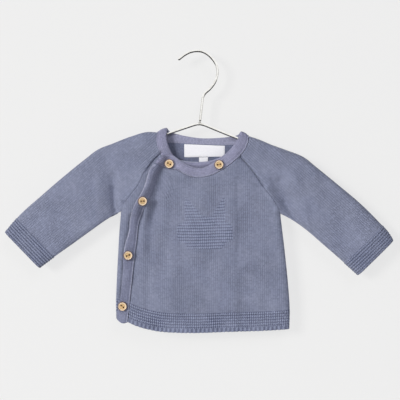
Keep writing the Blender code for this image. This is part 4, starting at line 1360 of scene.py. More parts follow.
@dataclass
class Sleeve:
    """A raglan sleeve: one sheet folded over along its top, its long edges closing along the underarm."""

    name: str
    front: Side
    back: Side
    fold: Array
    underarm: Array
    front_raglan: Array
    back_raglan: Array
    front_neck: Array
    back_neck: Array
    flat: tuple[float, float]
    area: float
    gauge: Gauge = field(default_factory=Gauge)
    along_step: float = 1.15
    middle_columns: int = 34
    fold_to_armpit: float = 92.0
    fold_shares: tuple[float, ...] = (1.0, 0.95, 0.89, 0.81, 0.67, 0.52, 0.36, 0.19, 0.0)
    long_steps: int = 7
    neck_fade: float = 30.0
    neck_drop: float = 1.0
    cast_on_skip: float = 2.0

    def row_places(self) -> tuple[Array, Array, Array, int]:
        """Chooses the rows.

        Returns:
            How far each row's low end lies along raglan and underarm, how far its high end lies along the
            fold, how far it is past the neck in courses, and the number of the cuff's first row.
        """
        raglan = raglan_marks(self.front_raglan)
        total = lengths(self.underarm)[-1]
        long_low = np.linspace(0, total - self.gauge.cuff, self.long_steps + 1)[1:]
        low = np.concatenate([raglan[-1] - raglan[::-1], raglan[-1] + long_low, [raglan[-1] + total]])
        fold_total = lengths(self.fold)[-1]
        long_top = np.linspace(self.fold_to_armpit, fold_total - self.gauge.cuff, self.long_steps + 1)[1:]
        high = np.concatenate([self.fold_to_armpit * np.array(self.fold_shares[::-1]), long_top, [fold_total]])
        halfway = (low + high) / 2
        start_of_cuff = halfway[-2]
        count = int(start_of_cuff / self.along_step)
        main = np.concatenate([np.array(NEAR), np.linspace(self.along_step, start_of_cuff, count)])
        cuff = np.linspace(start_of_cuff, halfway[-1], 6 * self.gauge.ridges + 1)[1:]
        at = np.concatenate([main, cuff])
        courses = np.where(at <= start_of_cuff, (at - start_of_cuff) / self.gauge.course,
                           (at - start_of_cuff) / (halfway[-1] - start_of_cuff) * 2 * self.gauge.ridges)
        return np.interp(at, halfway, low), np.interp(at, halfway, high), courses, len(main) - 1

    def shares(self, width: float) -> Array:
        """Chooses a half's columns.

        Args:
            width: How wide the half is.

        Returns:
            Where they lie across it, from 0 at its seam to 1 at the fold.
        """
        rounding, both = np.array(ROUND), 2 * ROUND[-1]
        low = rounding * min(1.0, (width - ROUND[-1]) / both)
        high = width - rounding[::-1] * min(1.0, width / both)
        middle = np.linspace(low[-1], high[0], self.middle_columns + 1)[1:-1]
        return np.concatenate([low, middle, high]) / width

    def half(self, raglan: Array, neck: Array, low: Array, high: Array) -> Array:
        """Lays out one half.

        Args:
            raglan: The raglan seam, from armpit to neck.
            neck: The neckband's seam, from raglan to fold.
            low: How far each row's low end lies from the neck, along raglan and underarm.
            high: How far its high end lies along the fold.

        Returns:
            The grid of x, z points: rows from neck to cuff, columns from seam to fold.
        """
        front_length = lengths(self.front_raglan)[-1]
        # The two raglans differ in length, so the back's rows pair with the front's by share of the CAD's marks.
        from_armpit = np.interp(front_length - low, raglan_marks(self.front_raglan), raglan_marks(raglan))
        lower = along(self.underarm, np.clip(low - front_length, 0, None))
        bottom = np.where((low <= front_length)[:, None], along(raglan, from_armpit), lower)
        neck_length = lengths(neck)[-1]
        rows = []
        for start, end, past_neck in zip(bottom, along(self.fold, high), high):
            share = self.shares(float(np.linalg.norm(end - start)))[:, None]
            bow = along(neck, share[:, 0] * neck_length) - (neck[0] + share * (neck[-1] - neck[0]))
            fade = max(0.0, 1 - past_neck / self.neck_fade) ** 2
            rows.append(start + share * (end - start) + bow * fade)
        return np.stack(rows)

    def build(self, wardrobe: Wardrobe) -> Object:
        """Makes the sleeve.

        Args:
            wardrobe: The finishes.

        Returns:
            The sleeve's object.
        """
        gauge = self.gauge
        low, high, courses, cuff_row = self.row_places()
        halves = []
        axis = unit(self.fold[-1] - self.fold[len(self.fold) // 3])
        across_axis = np.array([-axis[1], axis[0]])
        raglan_length = lengths(self.front_raglan)[-1]
        for side, raglan, neck in ((self.front, self.front_raglan, self.front_neck),
                                   (self.back, self.back_raglan, self.back_neck)):
            grid = self.half(raglan, neck, low, high)
            plane = np.stack([grid @ across_axis / gauge.wale, grid @ axis / gauge.course], axis=-1)
            from_seam = gone(grid)
            halves.append((*side.place(grid), plane, np.where((low <= raglan_length)[:, None], seam_fall(from_seam),
                                                              edge_fall(from_seam, Edge.CLOSING))))
        # The back's wales count on from the fold, so they meet the front's there.
        front_plane, back_plane = halves[0][2], halves[1][2]
        back_plane[..., :1] = 2 * front_plane[:, -1:, :1] - back_plane[..., :1]
        middle, normal, stitches, seam_falls = (np.concatenate([front, back[:, -2::-1]], axis=1)
                                                for front, back in zip(*halves))
        across = gone(middle) / gauge.wale
        # The cuff's courses count from its end, as the hem's do.
        counted = np.broadcast_to((courses[-1] - courses)[:, None], across.shape)
        # Its cast-on shows only as a narrow edge.
        band_stitches = np.stack([across, counted + self.cast_on_skip], axis=-1)
        ridge, bead = gauge.garter(across, counted)
        lift = gauge.ridge_lift * ridge * (0.62 + 0.38 * bead) * (counted < 2 * gauge.ridges)
        lift = gauge.cast_on_bars(lift, across, counted + self.cast_on_skip)
        lift = lift - edge_fall(counted * gauge.cuff / (2 * gauge.ridges), Edge.FREE)
        from_neck = ((courses - courses[0]) * gauge.course)[:, None]
        lift = lift - self.neck_drop * seam_fall(from_neck) - seam_falls
        wall = Wall(self.name, middle, normal, gauge.wall, lift, stitches, band_stitches, (cuff_row, len(middle) - 1))
        return wall.build(wardrobe.sleeve)


# --- Bands ---


# Rows at a band's end, in sixths of the way between two stations.
NEAR_END = (0.0, 0.04, 0.12, 0.25, 0.45, 0.7)


@dataclass
class Strip:
    """How a knitted band is laid out across: a chained ridge at its seam, a swell, and a rolled free edge."""

    near_seam: tuple[float, ...] = (0.0, 0.25, 0.6, 1.0, 1.4, 1.85, 2.25, 2.7, 3.4)
    near_edge: tuple[float, ...] = (0.0, 0.25, 0.7, 1.3, 2.1)
    middle_columns: int = 8
    swell: float = 0.45
    free_swell: float = 0.85
    button_reach: float = 11.0
    chain: float = 0.7
    chain_highlight_from: float = 0.5
    chain_highlight_to: float = 1.7
    across_wale: float = 2.2

    def across(self, low: Array, high: Array) -> tuple[Array, Array]:
        """Lays out a band between two lines.

        Args:
            low: Points on its seam, one a row.
            high: Points on its free edge, one a row.

        Returns:
            The grid of x, z points, and each point's distance from the seam.
        """
        rows = []
        for width in np.linalg.norm(high - low, axis=1):
            last = width - self.near_edge[-1]
            middle = np.linspace(self.near_seam[-1], last, self.middle_columns + 2)[1:-1]
            rows.append(np.concatenate([self.near_seam, middle, width - np.array(self.near_edge[::-1])]))
        from_seam = np.stack(rows)
        share = from_seam / from_seam[:, -1:]
        return low[:, None] + share[..., None] * (high - low)[:, None], from_seam

    def relief(self, grid: Array, from_seam: Array, stitches_along: Array, joined_to: Array) -> Array:
        """Swells the band, less where a button holds it down.

        Args:
            grid: The band's x, z points.
            from_seam: Each point's distance from the seam.
            stitches_along: Each row's place in courses.
            joined_to: For each row, 0 where the other band joins it and 1 well away.

        Returns:
            How far the outside is lifted, in millimetres.
        """
        width = from_seam[:, -1:]
        free = np.ones(grid.shape[:2])
        for x, z, _ in BUTTONS:
            away = np.linalg.norm(grid - (x, z), axis=-1)
            free *= 1 - np.exp(-((away / self.button_reach) ** 4))
        swell = self.swell + self.free_swell * free
        lift = swell * np.sin(np.pi * np.clip(from_seam / width, 0, 1)) ** 0.75
        beat = 0.8 + 0.2 * np.cos(math.tau * stitches_along[:, None])
        chain = self.chain * beat * np.exp(-(((from_seam - 1.2) / 0.7) ** 2))
        # A crease beside the chain parts it from the swell, and the seam itself pulls in.
        crease = 0.5 * np.exp(-(((from_seam - 2.5) / 0.6) ** 2)) + fall(from_seam, 0.9, 1.2)
        return lift + (chain - crease) * joined_to[:, None] - fall(width - from_seam, 2.0, 0.95)

    def chained(self, from_seam: Array, joined_to: Array) -> Array:
        """Returns which of a band's points lie on its chained ridge, where that stands up clearly: they get the
        painted highlight.
        """
        return (from_seam > self.chain_highlight_from) & (from_seam < self.chain_highlight_to) & (joined_to[:, None] > 0.7)


@dataclass
class Bands:
    """The neckband, one strip round the neck, and the front band with its rounded foot."""

    layers: Layers
    gauge: Gauge = field(default_factory=Gauge)
    strip: Strip = field(default_factory=Strip)
    corner_drop: float = 3.6
    corner_height: float = 7.14
    top_blend: float = 8.0
    top_plain: float = 45.0
    end_fall: tuple[float, float] = (1.4, 0.75)
    selvedge_highlight_z: tuple[float, float] = (-262.0, -147.0)
    rolled_x: tuple[float, float] = (-30.0, 12.0)
    neck_flat: tuple[float, float] = (0.014, 0.37)
    front_flat: tuple[float, float] = (0.015, 0.212)

    def neckband(self, wardrobe: Wardrobe) -> Object:
        """Makes the neckband, whose seam starts where the front band's top ends.

        Args:
            wardrobe: The finishes.

        Returns:
            The neckband's object.
        """
        layers, found = self.layers, []
        for side, rows, chain in ((layers.over, NECKBAND_OVER, 1.0), (layers.back, NECKBAND_BACK, 0.6),
                                  (layers.under, NECKBAND_UNDER, 0.35)):
            seam, edge = station_lines(rows)
            last = len(seam) - 1
            places = np.concatenate([NEAR_END, np.arange(1.0, last - 0.9, 0.5), last - np.array(NEAR_END[::-1])])
            low, high = (np.stack([np.interp(places, np.arange(last + 1), line[:, k]) for k in (0, 1)], axis=1)
                         for line in (seam, edge))
            grid, from_seam = self.strip.across(low, high)
            # Two neighbours share a row, which the first of them keeps.
            skip = int(bool(found))
            found.append([part[skip:] for part in (*side.place(grid), from_seam, np.full(len(from_seam), chain))])
        middle, normal, from_seam, strength = (np.concatenate(part) for part in zip(*found))
        done = lengths(middle[:, middle.shape[1] // 2])
        linked = ramp((done - 7.0) / 6.0) * np.convolve(strength, np.full(9, 1 / 9), "same")
        lift = self.strip.relief(middle[..., [0, 2]], from_seam, done / self.gauge.course, linked)
        lift = lift - (fall(done, *self.end_fall) + fall(done[-1] - done, *self.end_fall))[:, None]
        # In front the free edge rolls up, and the lighter chain yarn on it is a painted highlight.
        x, y, to_edge = middle[..., 0], middle[..., 1], from_seam[:, -1:] - from_seam
        rolled = (to_edge > 0.2) & (to_edge < 1.4) & (x > self.rolled_x[0]) & (x < self.rolled_x[1]) & (y < 0)
        wall = self.wall("knit_neckband", middle, normal, from_seam, done, lift,
                         self.strip.chained(from_seam, linked) | rolled)
        return wall.build(wardrobe.band)

    def wall(self, name: str, middle: Array, normal: Array, from_seam: Array, done: Array, lift: Array,
             bright: Array) -> Wall:
        """Sets up a band's wall, whose inside rounds over at the free edge.

        Args:
            name: The piece's name.
            middle: The wall's middle points.
            normal: Its outward normals.
            from_seam: Each point's distance from the band's seam.
            done: How far along the band each row lies.
            lift: How far the outside is lifted.
            bright: Which points get the lighter chain yarn, a painted highlight.

        Returns:
            The wall.
        """
        courses = np.broadcast_to((done / self.gauge.course)[:, None], from_seam.shape)
        return Wall(name, middle, normal, self.gauge.band_wall, lift,
                    np.stack([from_seam / self.strip.across_wale, courses], axis=-1),
                    inner_fall=fall(from_seam[:, -1:] - from_seam, 1.5, 0.75), inner_step=2, garter_and_highlight_patch=bright)

    def front_band(self, wardrobe: Wardrobe, over_grid: Array) -> Object:
        """Makes the front band along the over front's left edge.

        Args:
            wardrobe: The finishes.
            over_grid: The over front's x, z points.

        Returns:
            The front band's object.
        """
        seam = over_grid[:, 0]
        edge_line = smooth(BAND_EDGE)
        done = lengths(seam)
        edge = along(edge_line, done / done[-1] * lengths(edge_line)[-1])
        grid, from_seam = self.strip.across(seam, edge)
        share = from_seam / from_seam[:, -1:]
        near_foot = np.clip(1 - done / self.corner_height, 0, 1)[:, None]
        grid[..., 1] -= self.corner_drop * np.sin(np.pi * share) * near_foot
        end = self.layers.over_seam[:7][::-1]
        target = along(end, share[-1] * lengths(end)[-1])
        near_top = np.clip(1 - (done[-1] - done) / self.top_blend, 0, 1)[:, None, None]
        grid = grid + near_top * (target - grid[-1])[None]
        middle, normal = self.layers.over.place(grid)
        linked = ramp((done[-1] - done - self.top_plain) / 25.0)
        lift = self.strip.relief(grid, from_seam, done / self.gauge.course, linked)
        lift = lift - fall(done, *self.end_fall)[:, None]
        # Its selvedge, a chain of slipped stitches, gets the same painted highlight, which widens where it turns
        # over.
        low, high = self.selvedge_highlight_z
        z, to_edge = grid[..., 1], from_seam[:, -1:] - from_seam
        selvedge_highlight = (to_edge > 0.2) & (to_edge < 1.4 + 0.9 * ramp((z + 190.0) / 20.0)) & (z > low) & (z < high)
        wall = self.wall("knit_front_band", middle, normal, from_seam, done, lift,
                         self.strip.chained(from_seam, linked) | selvedge_highlight)
        return wall.build(wardrobe.placket)


# --- Buttons ---


@dataclass
class Buttons:
    """Five turned buttons with a rim, a shallow dish and two holes, sewn on with thread."""

    layers: Layers
    radius: float = 6.0
    height: float = 3.0
    rim: float = 1.3
    dish: float = 0.6
    hole_radius: float = 1.12
    hole_spacing: float = 3.4
    sides: int = 72
    dish_radius: float = 4.1
    dark_from: float = 5.3
    seat_above_middle: float = 1.35
    upright: float = 1.4
    seam_gap: float = 0.3

    def profile(self) -> list[tuple[float, float]]:
        """Returns the turned outline as radius and height, from the back's centre to the face's."""
        top, bead = self.height, 0.7
        outline = [(0.0, 0.0), (self.radius - bead, 0.0)]
        for angle in (22, 45, 68):
            turn = math.radians(angle)
            outline.append((self.radius - bead + bead * math.sin(turn), bead - bead * math.cos(turn)))
        outline += [(self.radius, bead), (self.radius, top - bead - 0.1)]
        for angle in (15, 35, 50, 65, 80, 95, 115, 135, 155, 172):
            turn = math.radians(angle)
            half = self.rim / 2
            outline.append((self.radius - half + half * math.cos(turn), top - bead + bead * math.sin(turn)))
        floor, inner = top - self.dish, self.radius - self.rim
        outline += [(inner - 0.25, floor + 0.16), (inner - 0.6, floor + 0.04), (inner - 1.1, floor),
                    (0.0, floor - 0.05)]
        return outline

    def blank(self, finishes: Sequence[Material]) -> Mesh:
        """Turns and drills one button.

        Args:
            finishes: Its wood in the dish, on the rim, pale as a painted highlight, and across the grain, dark also
                as painted shade.

        Returns:
            The mesh, lying in x, y with its face up, in millimetres.
        """
        shape = bmesh.new()
        points = [shape.verts.new((radius, 0.0, height)) for radius, height in self.profile()]
        outline = [shape.edges.new(pair) for pair in zip(points[:-1], points[1:])]
        bmesh.ops.spin(shape, geom=outline, cent=(0, 0, 0), axis=(0, 0, 1), angle=math.tau, steps=self.sides,
                       use_merge=True)
        bmesh.ops.remove_doubles(shape, verts=shape.verts, dist=0.001)
        bmesh.ops.recalc_face_normals(shape, faces=shape.faces)
        blank = add_object("button_blank", mesh_of("button_blank", shape))
        drills = []
        for side in (-1, 1):
            tool = bmesh.new()
            bmesh.ops.create_cone(tool, cap_ends=True, segments=28, radius1=self.hole_radius,
                                  radius2=self.hole_radius, depth=3 * self.height)
            drill = add_object("button_drill", mesh_of("button_drill", tool))
            drill.location = (side * self.hole_spacing / 2, 0, 0)
            cut = blank.modifiers.new("hole", "BOOLEAN")
            cut.operation, cut.solver, cut.object = "DIFFERENCE", "EXACT", drill
            drills.append(drill)
        bpy.context.view_layer.update()
        drilled = bpy.data.meshes.new_from_object(blank.evaluated_get(bpy.context.evaluated_depsgraph_get()))
        for thing in (blank, *drills):
            bpy.data.objects.remove(thing)
        drilled.materials.clear()
        # The rim is painted pale, a painted highlight on the turned rim. Its outside and the holes cut across the
        # grain, where waxed wood darkens, and this dark wood is also painted shade on the button's edge and down in
        # the holes.
        for face in drilled.polygons:
            out = math.hypot(face.center.x, face.center.y)
            in_hole = out < self.dish_radius and face.normal.z < 0.7
            face.material_index = 2 if out > self.dark_from or in_hole else int(out > self.dish_radius)
        for finish in finishes:
            drilled.materials.append(finish)
        return drilled

    def seat(self, x: float, z: float) -> tuple[Array, Array]:
        """Finds where a button's back lies, as its solid does.

        Args:
            x: The button's centre.
            z: The same.

        Returns:
            The centre of its back, and the direction it faces.
        """
        spots = [(x, z)]
        for radius in (self.radius / 3, self.radius * 2 / 3, self.radius):
            for angle in np.linspace(0, math.tau, 12, endpoint=False):
                spots.append((x + radius * math.cos(angle), z + radius * math.sin(angle)))
        middle, normal = self.layers.over.place(np.array(spots)[None])
        surface = (middle + normal * self.seat_above_middle)[0]
        facing = unit(unit(normal[0].mean(axis=0)) + (0.0, -self.upright, 0.0))
        lift = float(((surface - surface[0]) @ facing).max())
        return surface[0] + facing * (lift + self.seam_gap), facing

    def build(self, wardrobe: Wardrobe) -> None:
        """Makes the buttons and their threads.

        Args:
            wardrobe: The finishes.
        """
        blank = self.blank(wardrobe.wood)
        flat = np.array([vert.co for vert in blank.vertices])
        corners = [loop.vertex_index for loop in blank.loops]
        for number, (x, z, turn) in enumerate(BUTTONS, start=1):
            seat, facing = self.seat(x, z)
            across = unit(np.cross((0.0, 0.0, 1.0), facing))
            angle = math.radians(turn)
            first = across * math.cos(angle) + np.cross(facing, across) * math.sin(angle)
            frame = np.stack([first, np.cross(facing, first), facing])
            mesh = blank.copy()
            mesh.name = f"wood_button_{number}"
            mesh.vertices.foreach_set("co", ((flat @ frame + seat) * MM).astype(np.float32).ravel())
            layer = mesh.uv_layers.new(name=STITCH_MAP)
            grain = math.radians(37.0 * number)
            spin = np.array([[math.cos(grain), -math.sin(grain)], [math.sin(grain), math.cos(grain)]])
            # Each button is cut from another place in the wood, and its edge follows the board's depth.
            places = flat[:, :2] @ spin + (31.0 * number, 17.0 * number) + flat[:, 2:] * 0.6
            layer.uv.foreach_set("vector", places[corners].astype(np.float32).ravel())
            joined(placed(mesh, (), sharp=38.0), f"button_{number}", slot="button_wood")
            self.sew(number, seat, frame, wardrobe.button_thread)

    def sew(self, number: int, seat: Array, frame: Array, finishes: Sequence[Material]) -> None:
        """Sews one button on: two strands lie side by side between its holes.

        Args:
            number: Which button.
            seat: The centre of its back.
            frame: Its own axes, one a row.
            finishes: The thread's finish, and its darker copy down in the holes, which is painted shade.
        """
        top = self.height - self.dish
        reach = self.hole_spacing / 2
        shape = bmesh.new()
        for strand in (-0.16, 0.16):
            end = np.array([(reach - 0.3, strand * 0.7, top - 2.0), (reach - 0.45, strand * 0.8, top - 0.6),
                            (reach - 0.95, strand, top + 0.08)])
            path = np.vstack([end * (-1, 1, 1), [(0.0, strand, top + 0.16)], end[::-1]])
            add_tube(shape, smooth(path, 6) @ frame + seat, 0.14, 8)
        # The strands fill the holes below the face, in a darker copy of the thread that is painted shade.
        shown = len(shape.faces)
        for hole in (-reach, reach):
            path = np.array([(hole, 0.0, 0.3), (hole, 0.0, top - 1.3), (hole, 0.0, top - 0.9)])
            add_tube(shape, path @ frame + seat, self.hole_radius - 0.12, 16)
        shape.faces.ensure_lookup_table()
        for face in shape.faces[shown:]:
            face.material_index = 1
        joined(placed(mesh_of(f"button_thread_{number}", shape), finishes, sharp=60.0), slot="button_wood")


def add_tube(shape: bmesh.types.BMesh, path: Array, radius: Array | float, sides: int) -> None:
    """Adds a round tube with closed ends.

    Args:
        shape: The mesh to add it to, in metres.
        path: The points along its middle, in millimetres.
        radius: Its radius, one for all or one for each point.
        sides: How many sides it has.
    """
    tangents = unit(np.gradient(path, axis=0))
    normal = np.cross(tangents[0], (0.0, 1.0, 0.0))
    if np.linalg.norm(normal) < 0.2:
        normal = np.cross(tangents[0], (1.0, 0.0, 0.0))
    rings = []
    for point, tangent, size in zip(path, tangents, np.broadcast_to(radius, len(path))):
        normal = unit(normal - tangent * float(normal @ tangent))
        other = np.cross(tangent, normal)
        rings.append([shape.verts.new((point + (normal * math.cos(turn) + other * math.sin(turn)) * size) * MM)
                      for turn in np.arange(sides) * math.tau / sides])
    for low, high in zip(rings[:-1], rings[1:]):
        for k in range(sides):
            follow = (k + 1) % sides
            shape.faces.new((low[k], low[follow], high[follow], high[k]))
    shape.faces.new(rings[0][::-1])
    shape.faces.new(rings[-1])


# --- Label ---


@dataclass
class Labels:
    """A bare woven label sewn inside the back, and the small folded tag that hangs below it."""

    depths: Depths = field(default_factory=Depths)
    wall: float = 1.8
    gap: float = 0.25
    thickness: float = 0.5
    columns: int = 40
    rows: int = 14

    def tape(self, name: str, corners: Rows, swell: float, finish: Material) -> Object:
        """Makes one tape, a little cushioned, with rounded edges.

        Args:
            name: The piece's name.
            corners: Its corners, clockwise from the top left.
            swell: How far its middle stands forward.
            finish: Its weave.

        Returns:
            The tape's object.
        """
        top_left, top_right, low_right, low_left = (np.array(corner) for corner in corners)
        up = np.linspace(0, 1, self.rows + 1)[:, None, None]
        across = np.linspace(0, 1, self.columns + 1)[None, :, None]
        grid = ((1 - up) * ((1 - across) * low_left + across * low_right)
                + up * ((1 - across) * top_left + across * top_right))
        width, height = np.linalg.norm(top_right - top_left), np.linalg.norm(top_left - low_left)
        edge = np.minimum(np.minimum(across, 1 - across) * width, np.minimum(up, 1 - up) * height)[..., 0]
        inner = self.depths.back - self.wall / 2 - self.gap
        pad = swell * (np.sin(np.pi * across) * np.sin(np.pi * up))[..., 0] ** 0.5
        pad = pad + 0.05 * np.sin(across[..., 0] * 21.0 + 4 * up[..., 0])
        middle = np.stack([grid[..., 0], inner - self.thickness / 2 - pad, grid[..., 1]], axis=-1)
        slope = np.stack(np.gradient(-pad), axis=-1)
        normal = unit(np.stack([-slope[..., 1] / (width / self.columns), -np.ones_like(pad),
                                -slope[..., 0] / (height / self.rows)], axis=-1))
        lift = -fall(edge, 0.9, self.thickness * 0.4)
        stitches = np.stack(np.broadcast_arrays(across[..., 0] * width, up[..., 0] * height), axis=-1)
        wall = Wall(name, middle, normal, self.thickness, lift, stitches, inner_step=4)
        return wall.build([finish, finish, finish])

    def build(self, wardrobe: Wardrobe) -> None:
        """Makes the label, its stitches and the size tag.

        Args:
            wardrobe: The finishes.
        """
        label = joined(self.tape("woven_label", LABEL, 0.35, wardrobe.tape), "label", slot="woven_label")
        tag = joined(self.tape("woven_size_tag", SIZE_TAG, 0.2, wardrobe.tape), "size_tag", slot="woven_label")
        shape = bmesh.new()
        front = self.depths.back - self.wall / 2 - self.gap - self.thickness
        # Each stitch by height and depth.
        stitch = ((-0.62, 0.15), (-0.35, -0.06), (0.0, -0.1), (0.35, -0.06), (0.62, 0.15))
        # Running stitches 2.2 mm apart, 1.3 mm in from each short end.
        for x, low, high in ((LABEL[0][0] + 1.3, LABEL[3][1], LABEL[0][1]),
                             (LABEL[1][0] - 1.5, LABEL[2][1], LABEL[1][1])):
            for z in np.arange(low + 1.6, high - 1.2, 2.2):
                path = np.array([(x, front + out, z + up) for up, out in stitch])
                add_tube(shape, path, 0.16, 7)
        joined(placed(mesh_of("label_stitches", shape), [wardrobe.label_thread], sharp=60.0), slot="woven_label")


# --- Hanger ---


@dataclass
class Hanger:
    """Round wire: a hook with its stem, and a pair of arms soldered to it at their peak."""

    radius: float = 1.7
    sides: int = 28
    hook_corner: int = 13
    arms_corner: int = 4
    steps: int = 12

    def rod(self, name: str, rows: Rows, corner: int, finish: Material) -> Object:
        """Bends one wire, smooth but at its corner.

        Args:
            name: The piece's name.
            rows: The points along it.
            corner: Which of them is its corner.
            finish: Its metal.

        Returns:
            The wire's object.
        """
        flat = np.asarray(rows, float)
        parts = [smooth(flat[:corner + 1], self.steps), smooth(flat[corner:], self.steps)]
        line = np.vstack([parts[0][:-1], parts[1]])
        # A wire's corner is a bend of about its own thickness.
        for _ in range(3):
            line[1:-1] = (line[:-2] + 2 * line[1:-1] + line[2:]) / 4
        path = np.stack([line[:, 0], np.zeros(len(line)), line[:, 1]], axis=1)
        done = lengths(path)
        ends = np.array([0.0, 0.08, 0.3, 0.62, 1.05, 1.7])
        places = np.concatenate([ends, done[(done > 2.2) & (done < done[-1] - 2.2)], done[-1] - ends[::-1]])
        path = along(path, places)
        near = np.minimum(places, places[-1] - places)
        radii = self.radius * np.sqrt(1 - (1 - np.clip(near / self.radius, 0.02, 1)) ** 2)
        shape = bmesh.new()
        add_tube(shape, path, radii, self.sides)
        return placed(mesh_of(name, shape), [finish], sharp=70.0)

    def build(self, wardrobe: Wardrobe) -> None:
        """Makes the hook, the arms and the solder between them.

        Args:
            wardrobe: The finishes.
        """
        joined(self.rod("wire_hook", HOOK, self.hook_corner, wardrobe.wire), "hanger_hook", slot="hanger_wire")
        joined(self.rod("wire_arms", ARMS, self.arms_corner, wardrobe.wire), "hanger_arms", slot="hanger_wire")
        shape = bmesh.new()
        peak = np.array((ARMS[self.arms_corner][0], 0.0, ARMS[self.arms_corner][1]))
        bmesh.ops.create_icosphere(shape, subdivisions=4, radius=1.0)
        for vert in shape.verts:
            x, y, z = vert.co
            lump = 1 + 0.03 * math.sin(5 * x + 3 * z)
            vert.co = ((peak[0] + x * 2.3 * lump) * MM, y * 1.95 * lump * MM, (peak[2] + 0.4 + z * 1.6 * lump) * MM)
        joined(placed(mesh_of("solder", shape), [wardrobe.solder], sharp=80.0), slot="hanger_wire")


# --- The whole garment ---


@dataclass
class Cardigan:
    """The garment: three body panels, two sleeves, two bands, five buttons and a label."""

    layers: Layers = field(default_factory=Layers)

    def panels(self) -> tuple[Panel, Panel, MotifPanel]:
        """Lays out the back, the under front and the over front.

        Returns:
            The three panels.
        """
        lines = self.layers
        hem = smooth(BACK_HEM)
        back = Panel("knit_back", lines.back, hem,
                     *paired(hem, lines.raglan_left_back, lines.back_seam[12:49][::-1], lines.raglan_right_back),
                     lines.side_left, lines.side_right, Edge.CLOSING, Edge.CLOSING, (0.232, 0.250), 0.0478,
                     ("hanger_arms",))
        hem, neck = smooth(UNDER_HEM), lines.under_seam[18:]
        under = Panel("knit_under_front", lines.under, hem, *paired(hem, lines.raglan_left_front, neck, None),
                      lines.side_left, np.vstack([hem[-1], neck[-1]]), Edge.CLOSING, Edge.FREE, (0.156, 0.230),
                      0.0320, ("knit_sleeve_left",), across_step=2.75, up_step=1.9)
        hem = smooth(OVER_HEM)
        over = MotifPanel("knit_over_front", lines.over, hem,
                          *paired(hem, None, lines.over_seam[6:67], lines.raglan_right_front),
                          smooth(BAND_SEAM), lines.side_right, Edge.GROOVE, Edge.CLOSING, (0.214, 0.214), 0.0395,
                          ("knit_sleeve_right",))
        return back, under, over

    def sleeves(self) -> tuple[Sleeve, Sleeve]:
        """Lays out the two sleeves.

        Returns:
            The left and the right sleeve.
        """
        lines = self.layers
        left = Sleeve("knit_sleeve_left", lines.under, lines.back, lines.fold_left, lines.underarm_left,
                      lines.raglan_left_front, lines.raglan_left_back, lines.under_seam[:19][::-1],
                      lines.back_seam[48:], (0.190, 0.243), 0.0315, neck_drop=0.35)
        right = Sleeve("knit_sleeve_right", lines.over, lines.back, lines.fold_right, lines.underarm_right,
                       lines.raglan_right_front, lines.raglan_right_back, lines.over_seam[66:],
                       lines.back_seam[:13][::-1], (0.190, 0.235), 0.0300)
        return left, right

    def build(self, wardrobe: Wardrobe) -> None:
        """Makes every piece of the garment.

        Args:
            wardrobe: The finishes.
        """
        for panel, node in zip(self.panels(), ("back", "under_front", "over_front")):
            piece, grid = panel.build(wardrobe)
            joined(piece, node, slot="knit")
            list(panel.rests_on)
        for sleeve, node in zip(self.sleeves(), ("sleeve_left", "sleeve_right")):
            piece = joined(sleeve.build(wardrobe), node, slot="knit")
        bands = Bands(self.layers)
        neckband = joined(bands.neckband(wardrobe), "neckband", slot="band_knit")
        # The last panel is the over front, whose left edge the front band follows.
        front_band = joined(bands.front_band(wardrobe, grid), "front_band", slot="band_knit")
        Buttons(self.layers).build(wardrobe)
        Labels().build(wardrobe)


# --- Studio ---


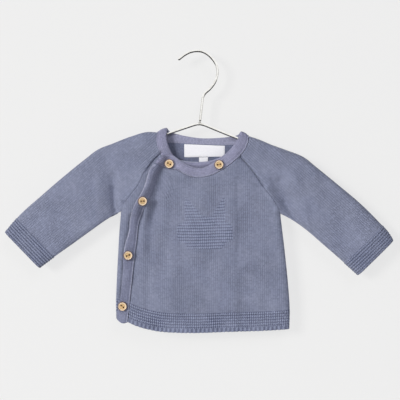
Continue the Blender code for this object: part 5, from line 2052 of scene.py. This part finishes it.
@dataclass
class Studio:
    """A pale floor and wall, soft light from the upper left, and the camera straight in front."""

    wall_y: float = 0.020
    floor_z: float = -0.75
    wall_size: float = 3.0
    camera_at: tuple[float, float, float] = (0.0039, -1.2278, -0.1921)
    lens: float = 85.0
    sky: float = 0.22
    mirrored: float = 1.2
    room: float = 0.74
    aim: tuple[float, float, float] = (0.0, 0.0, -0.19)
    # Each lamp's name, place, size in metres, power in watts and tint.
    lamps: tuple[tuple[str, tuple[float, float, float], float, float, str], ...] = (
        ("key", (-3.36, -3.84, 0.96), 1.6, 212.0, "#fffdf8"),
        ("fill", (0.9, -2.6, 1.7), 1.4, 27.0, "#f6f8ff"),
        ("rear", (-1.4, 2.4, 1.2), 1.4, 75.0, "#ffffff"),
    )

    def build(self) -> None:
        """Makes the backdrops, the lights and the camera."""
        half, y, floor, top = self.wall_size / 2, self.wall_y, self.floor_z, self.floor_z + self.wall_size
        upright = ((-half, y, floor), (half, y, floor), (half, y, top), (-half, y, top))
        level = ((-half, -half, floor), (half, -half, floor), (half, half, floor), (-half, half, floor))
        for name, paint, corners, shades in (
                ("backdrop", WallFinish(), upright, False),
                ("floor", WallFinish("matt_floor_paint", "#f0f0f0", 0.0), level, True)):
            mesh = bpy.data.meshes.new(name)
            mesh.from_pydata(corners, [], [(0, 1, 2, 3)])
            mesh.materials.append(paint.build())
            thing = add_object(name, mesh)
            thing.visible_glossy, thing.visible_shadow, thing.visible_diffuse = False, shades, shades
        self.light_room()
        for name, place, size, power, tint in self.lamps:
            light = bpy.data.lights.new(name, "AREA")
            light.shape, light.size, light.energy, light.color = "SQUARE", size, power, linear(tint)[:3]
            lamp = add_object(name, light)
            lamp.location = place
            lamp.rotation_euler = (Vector(self.aim) - Vector(place)).to_track_quat("-Z", "Y").to_euler()
            # The wire mirrors the room, not the lamps.
            lamp.visible_glossy = lamp.visible_camera = False

        lens = bpy.data.cameras.new("camera")
        lens.lens, lens.sensor_width = self.lens, 36.0
        lens.clip_start, lens.clip_end = 0.01, 20.0
        camera = add_object("camera", lens)
        camera.location = self.camera_at
        camera.rotation_euler = (math.radians(90), 0, 0)
        bpy.context.scene.camera = camera
        bpy.context.scene.view_settings.view_transform = "Standard"

    def light_room(self) -> None:
        """Lights the room: bright where the wire mirrors it, dimmer on all else, so the lamps shape the folds."""
        world = bpy.data.worlds.new("studio")
        bpy.context.scene.world = world
        world.use_nodes = True
        tree = world.node_tree
        add = partial(add_node, tree)
        x, _, z = add("SeparateXYZ", (add("TexCoord", out="Generated"),)).node.outputs
        mirrored = add("LightPath", out="Is Glossy Ray")
        shade = add("Math", (mirrored, self.mirrored - self.sky, self.sky), "MULTIPLY_ADD")
        # What the wire mirrors is bright ahead and overhead, and dark underfoot and far to the sides.
        sideways = add("Math", (x,), "ABSOLUTE")
        for value, start, end, dark in ((z, -0.1, -0.3, 0.04), (sideways, 0.86, 0.99, 0.25)):
            part = add("MapRange", (value, start, end, 1.0, dark), interpolation_type="SMOOTHSTEP")
            shade = add("Math", (shade, part), "MULTIPLY")
        # Where the room itself shows, it is an even pale grey.
        shown = add("Mix", {0: add("LightPath", out="Is Camera Ray"), 2: shade, 3: self.room})
        colour = add("VectorMath", {0: (1.0, 1.0, 1.0), "Scale": shown}, "SCALE")
        connect(tree, tree.nodes["Background"], {"Color": colour})


def main() -> None:
    """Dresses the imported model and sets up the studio."""
    logging.basicConfig(level=logging.INFO, format="%(name)s: %(message)s")
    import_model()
    wardrobe = Wardrobe()
    Cardigan().build(wardrobe)
    Hanger().build(wardrobe)
    Studio().build()
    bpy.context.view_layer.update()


if __name__ == "__main__":
    main()
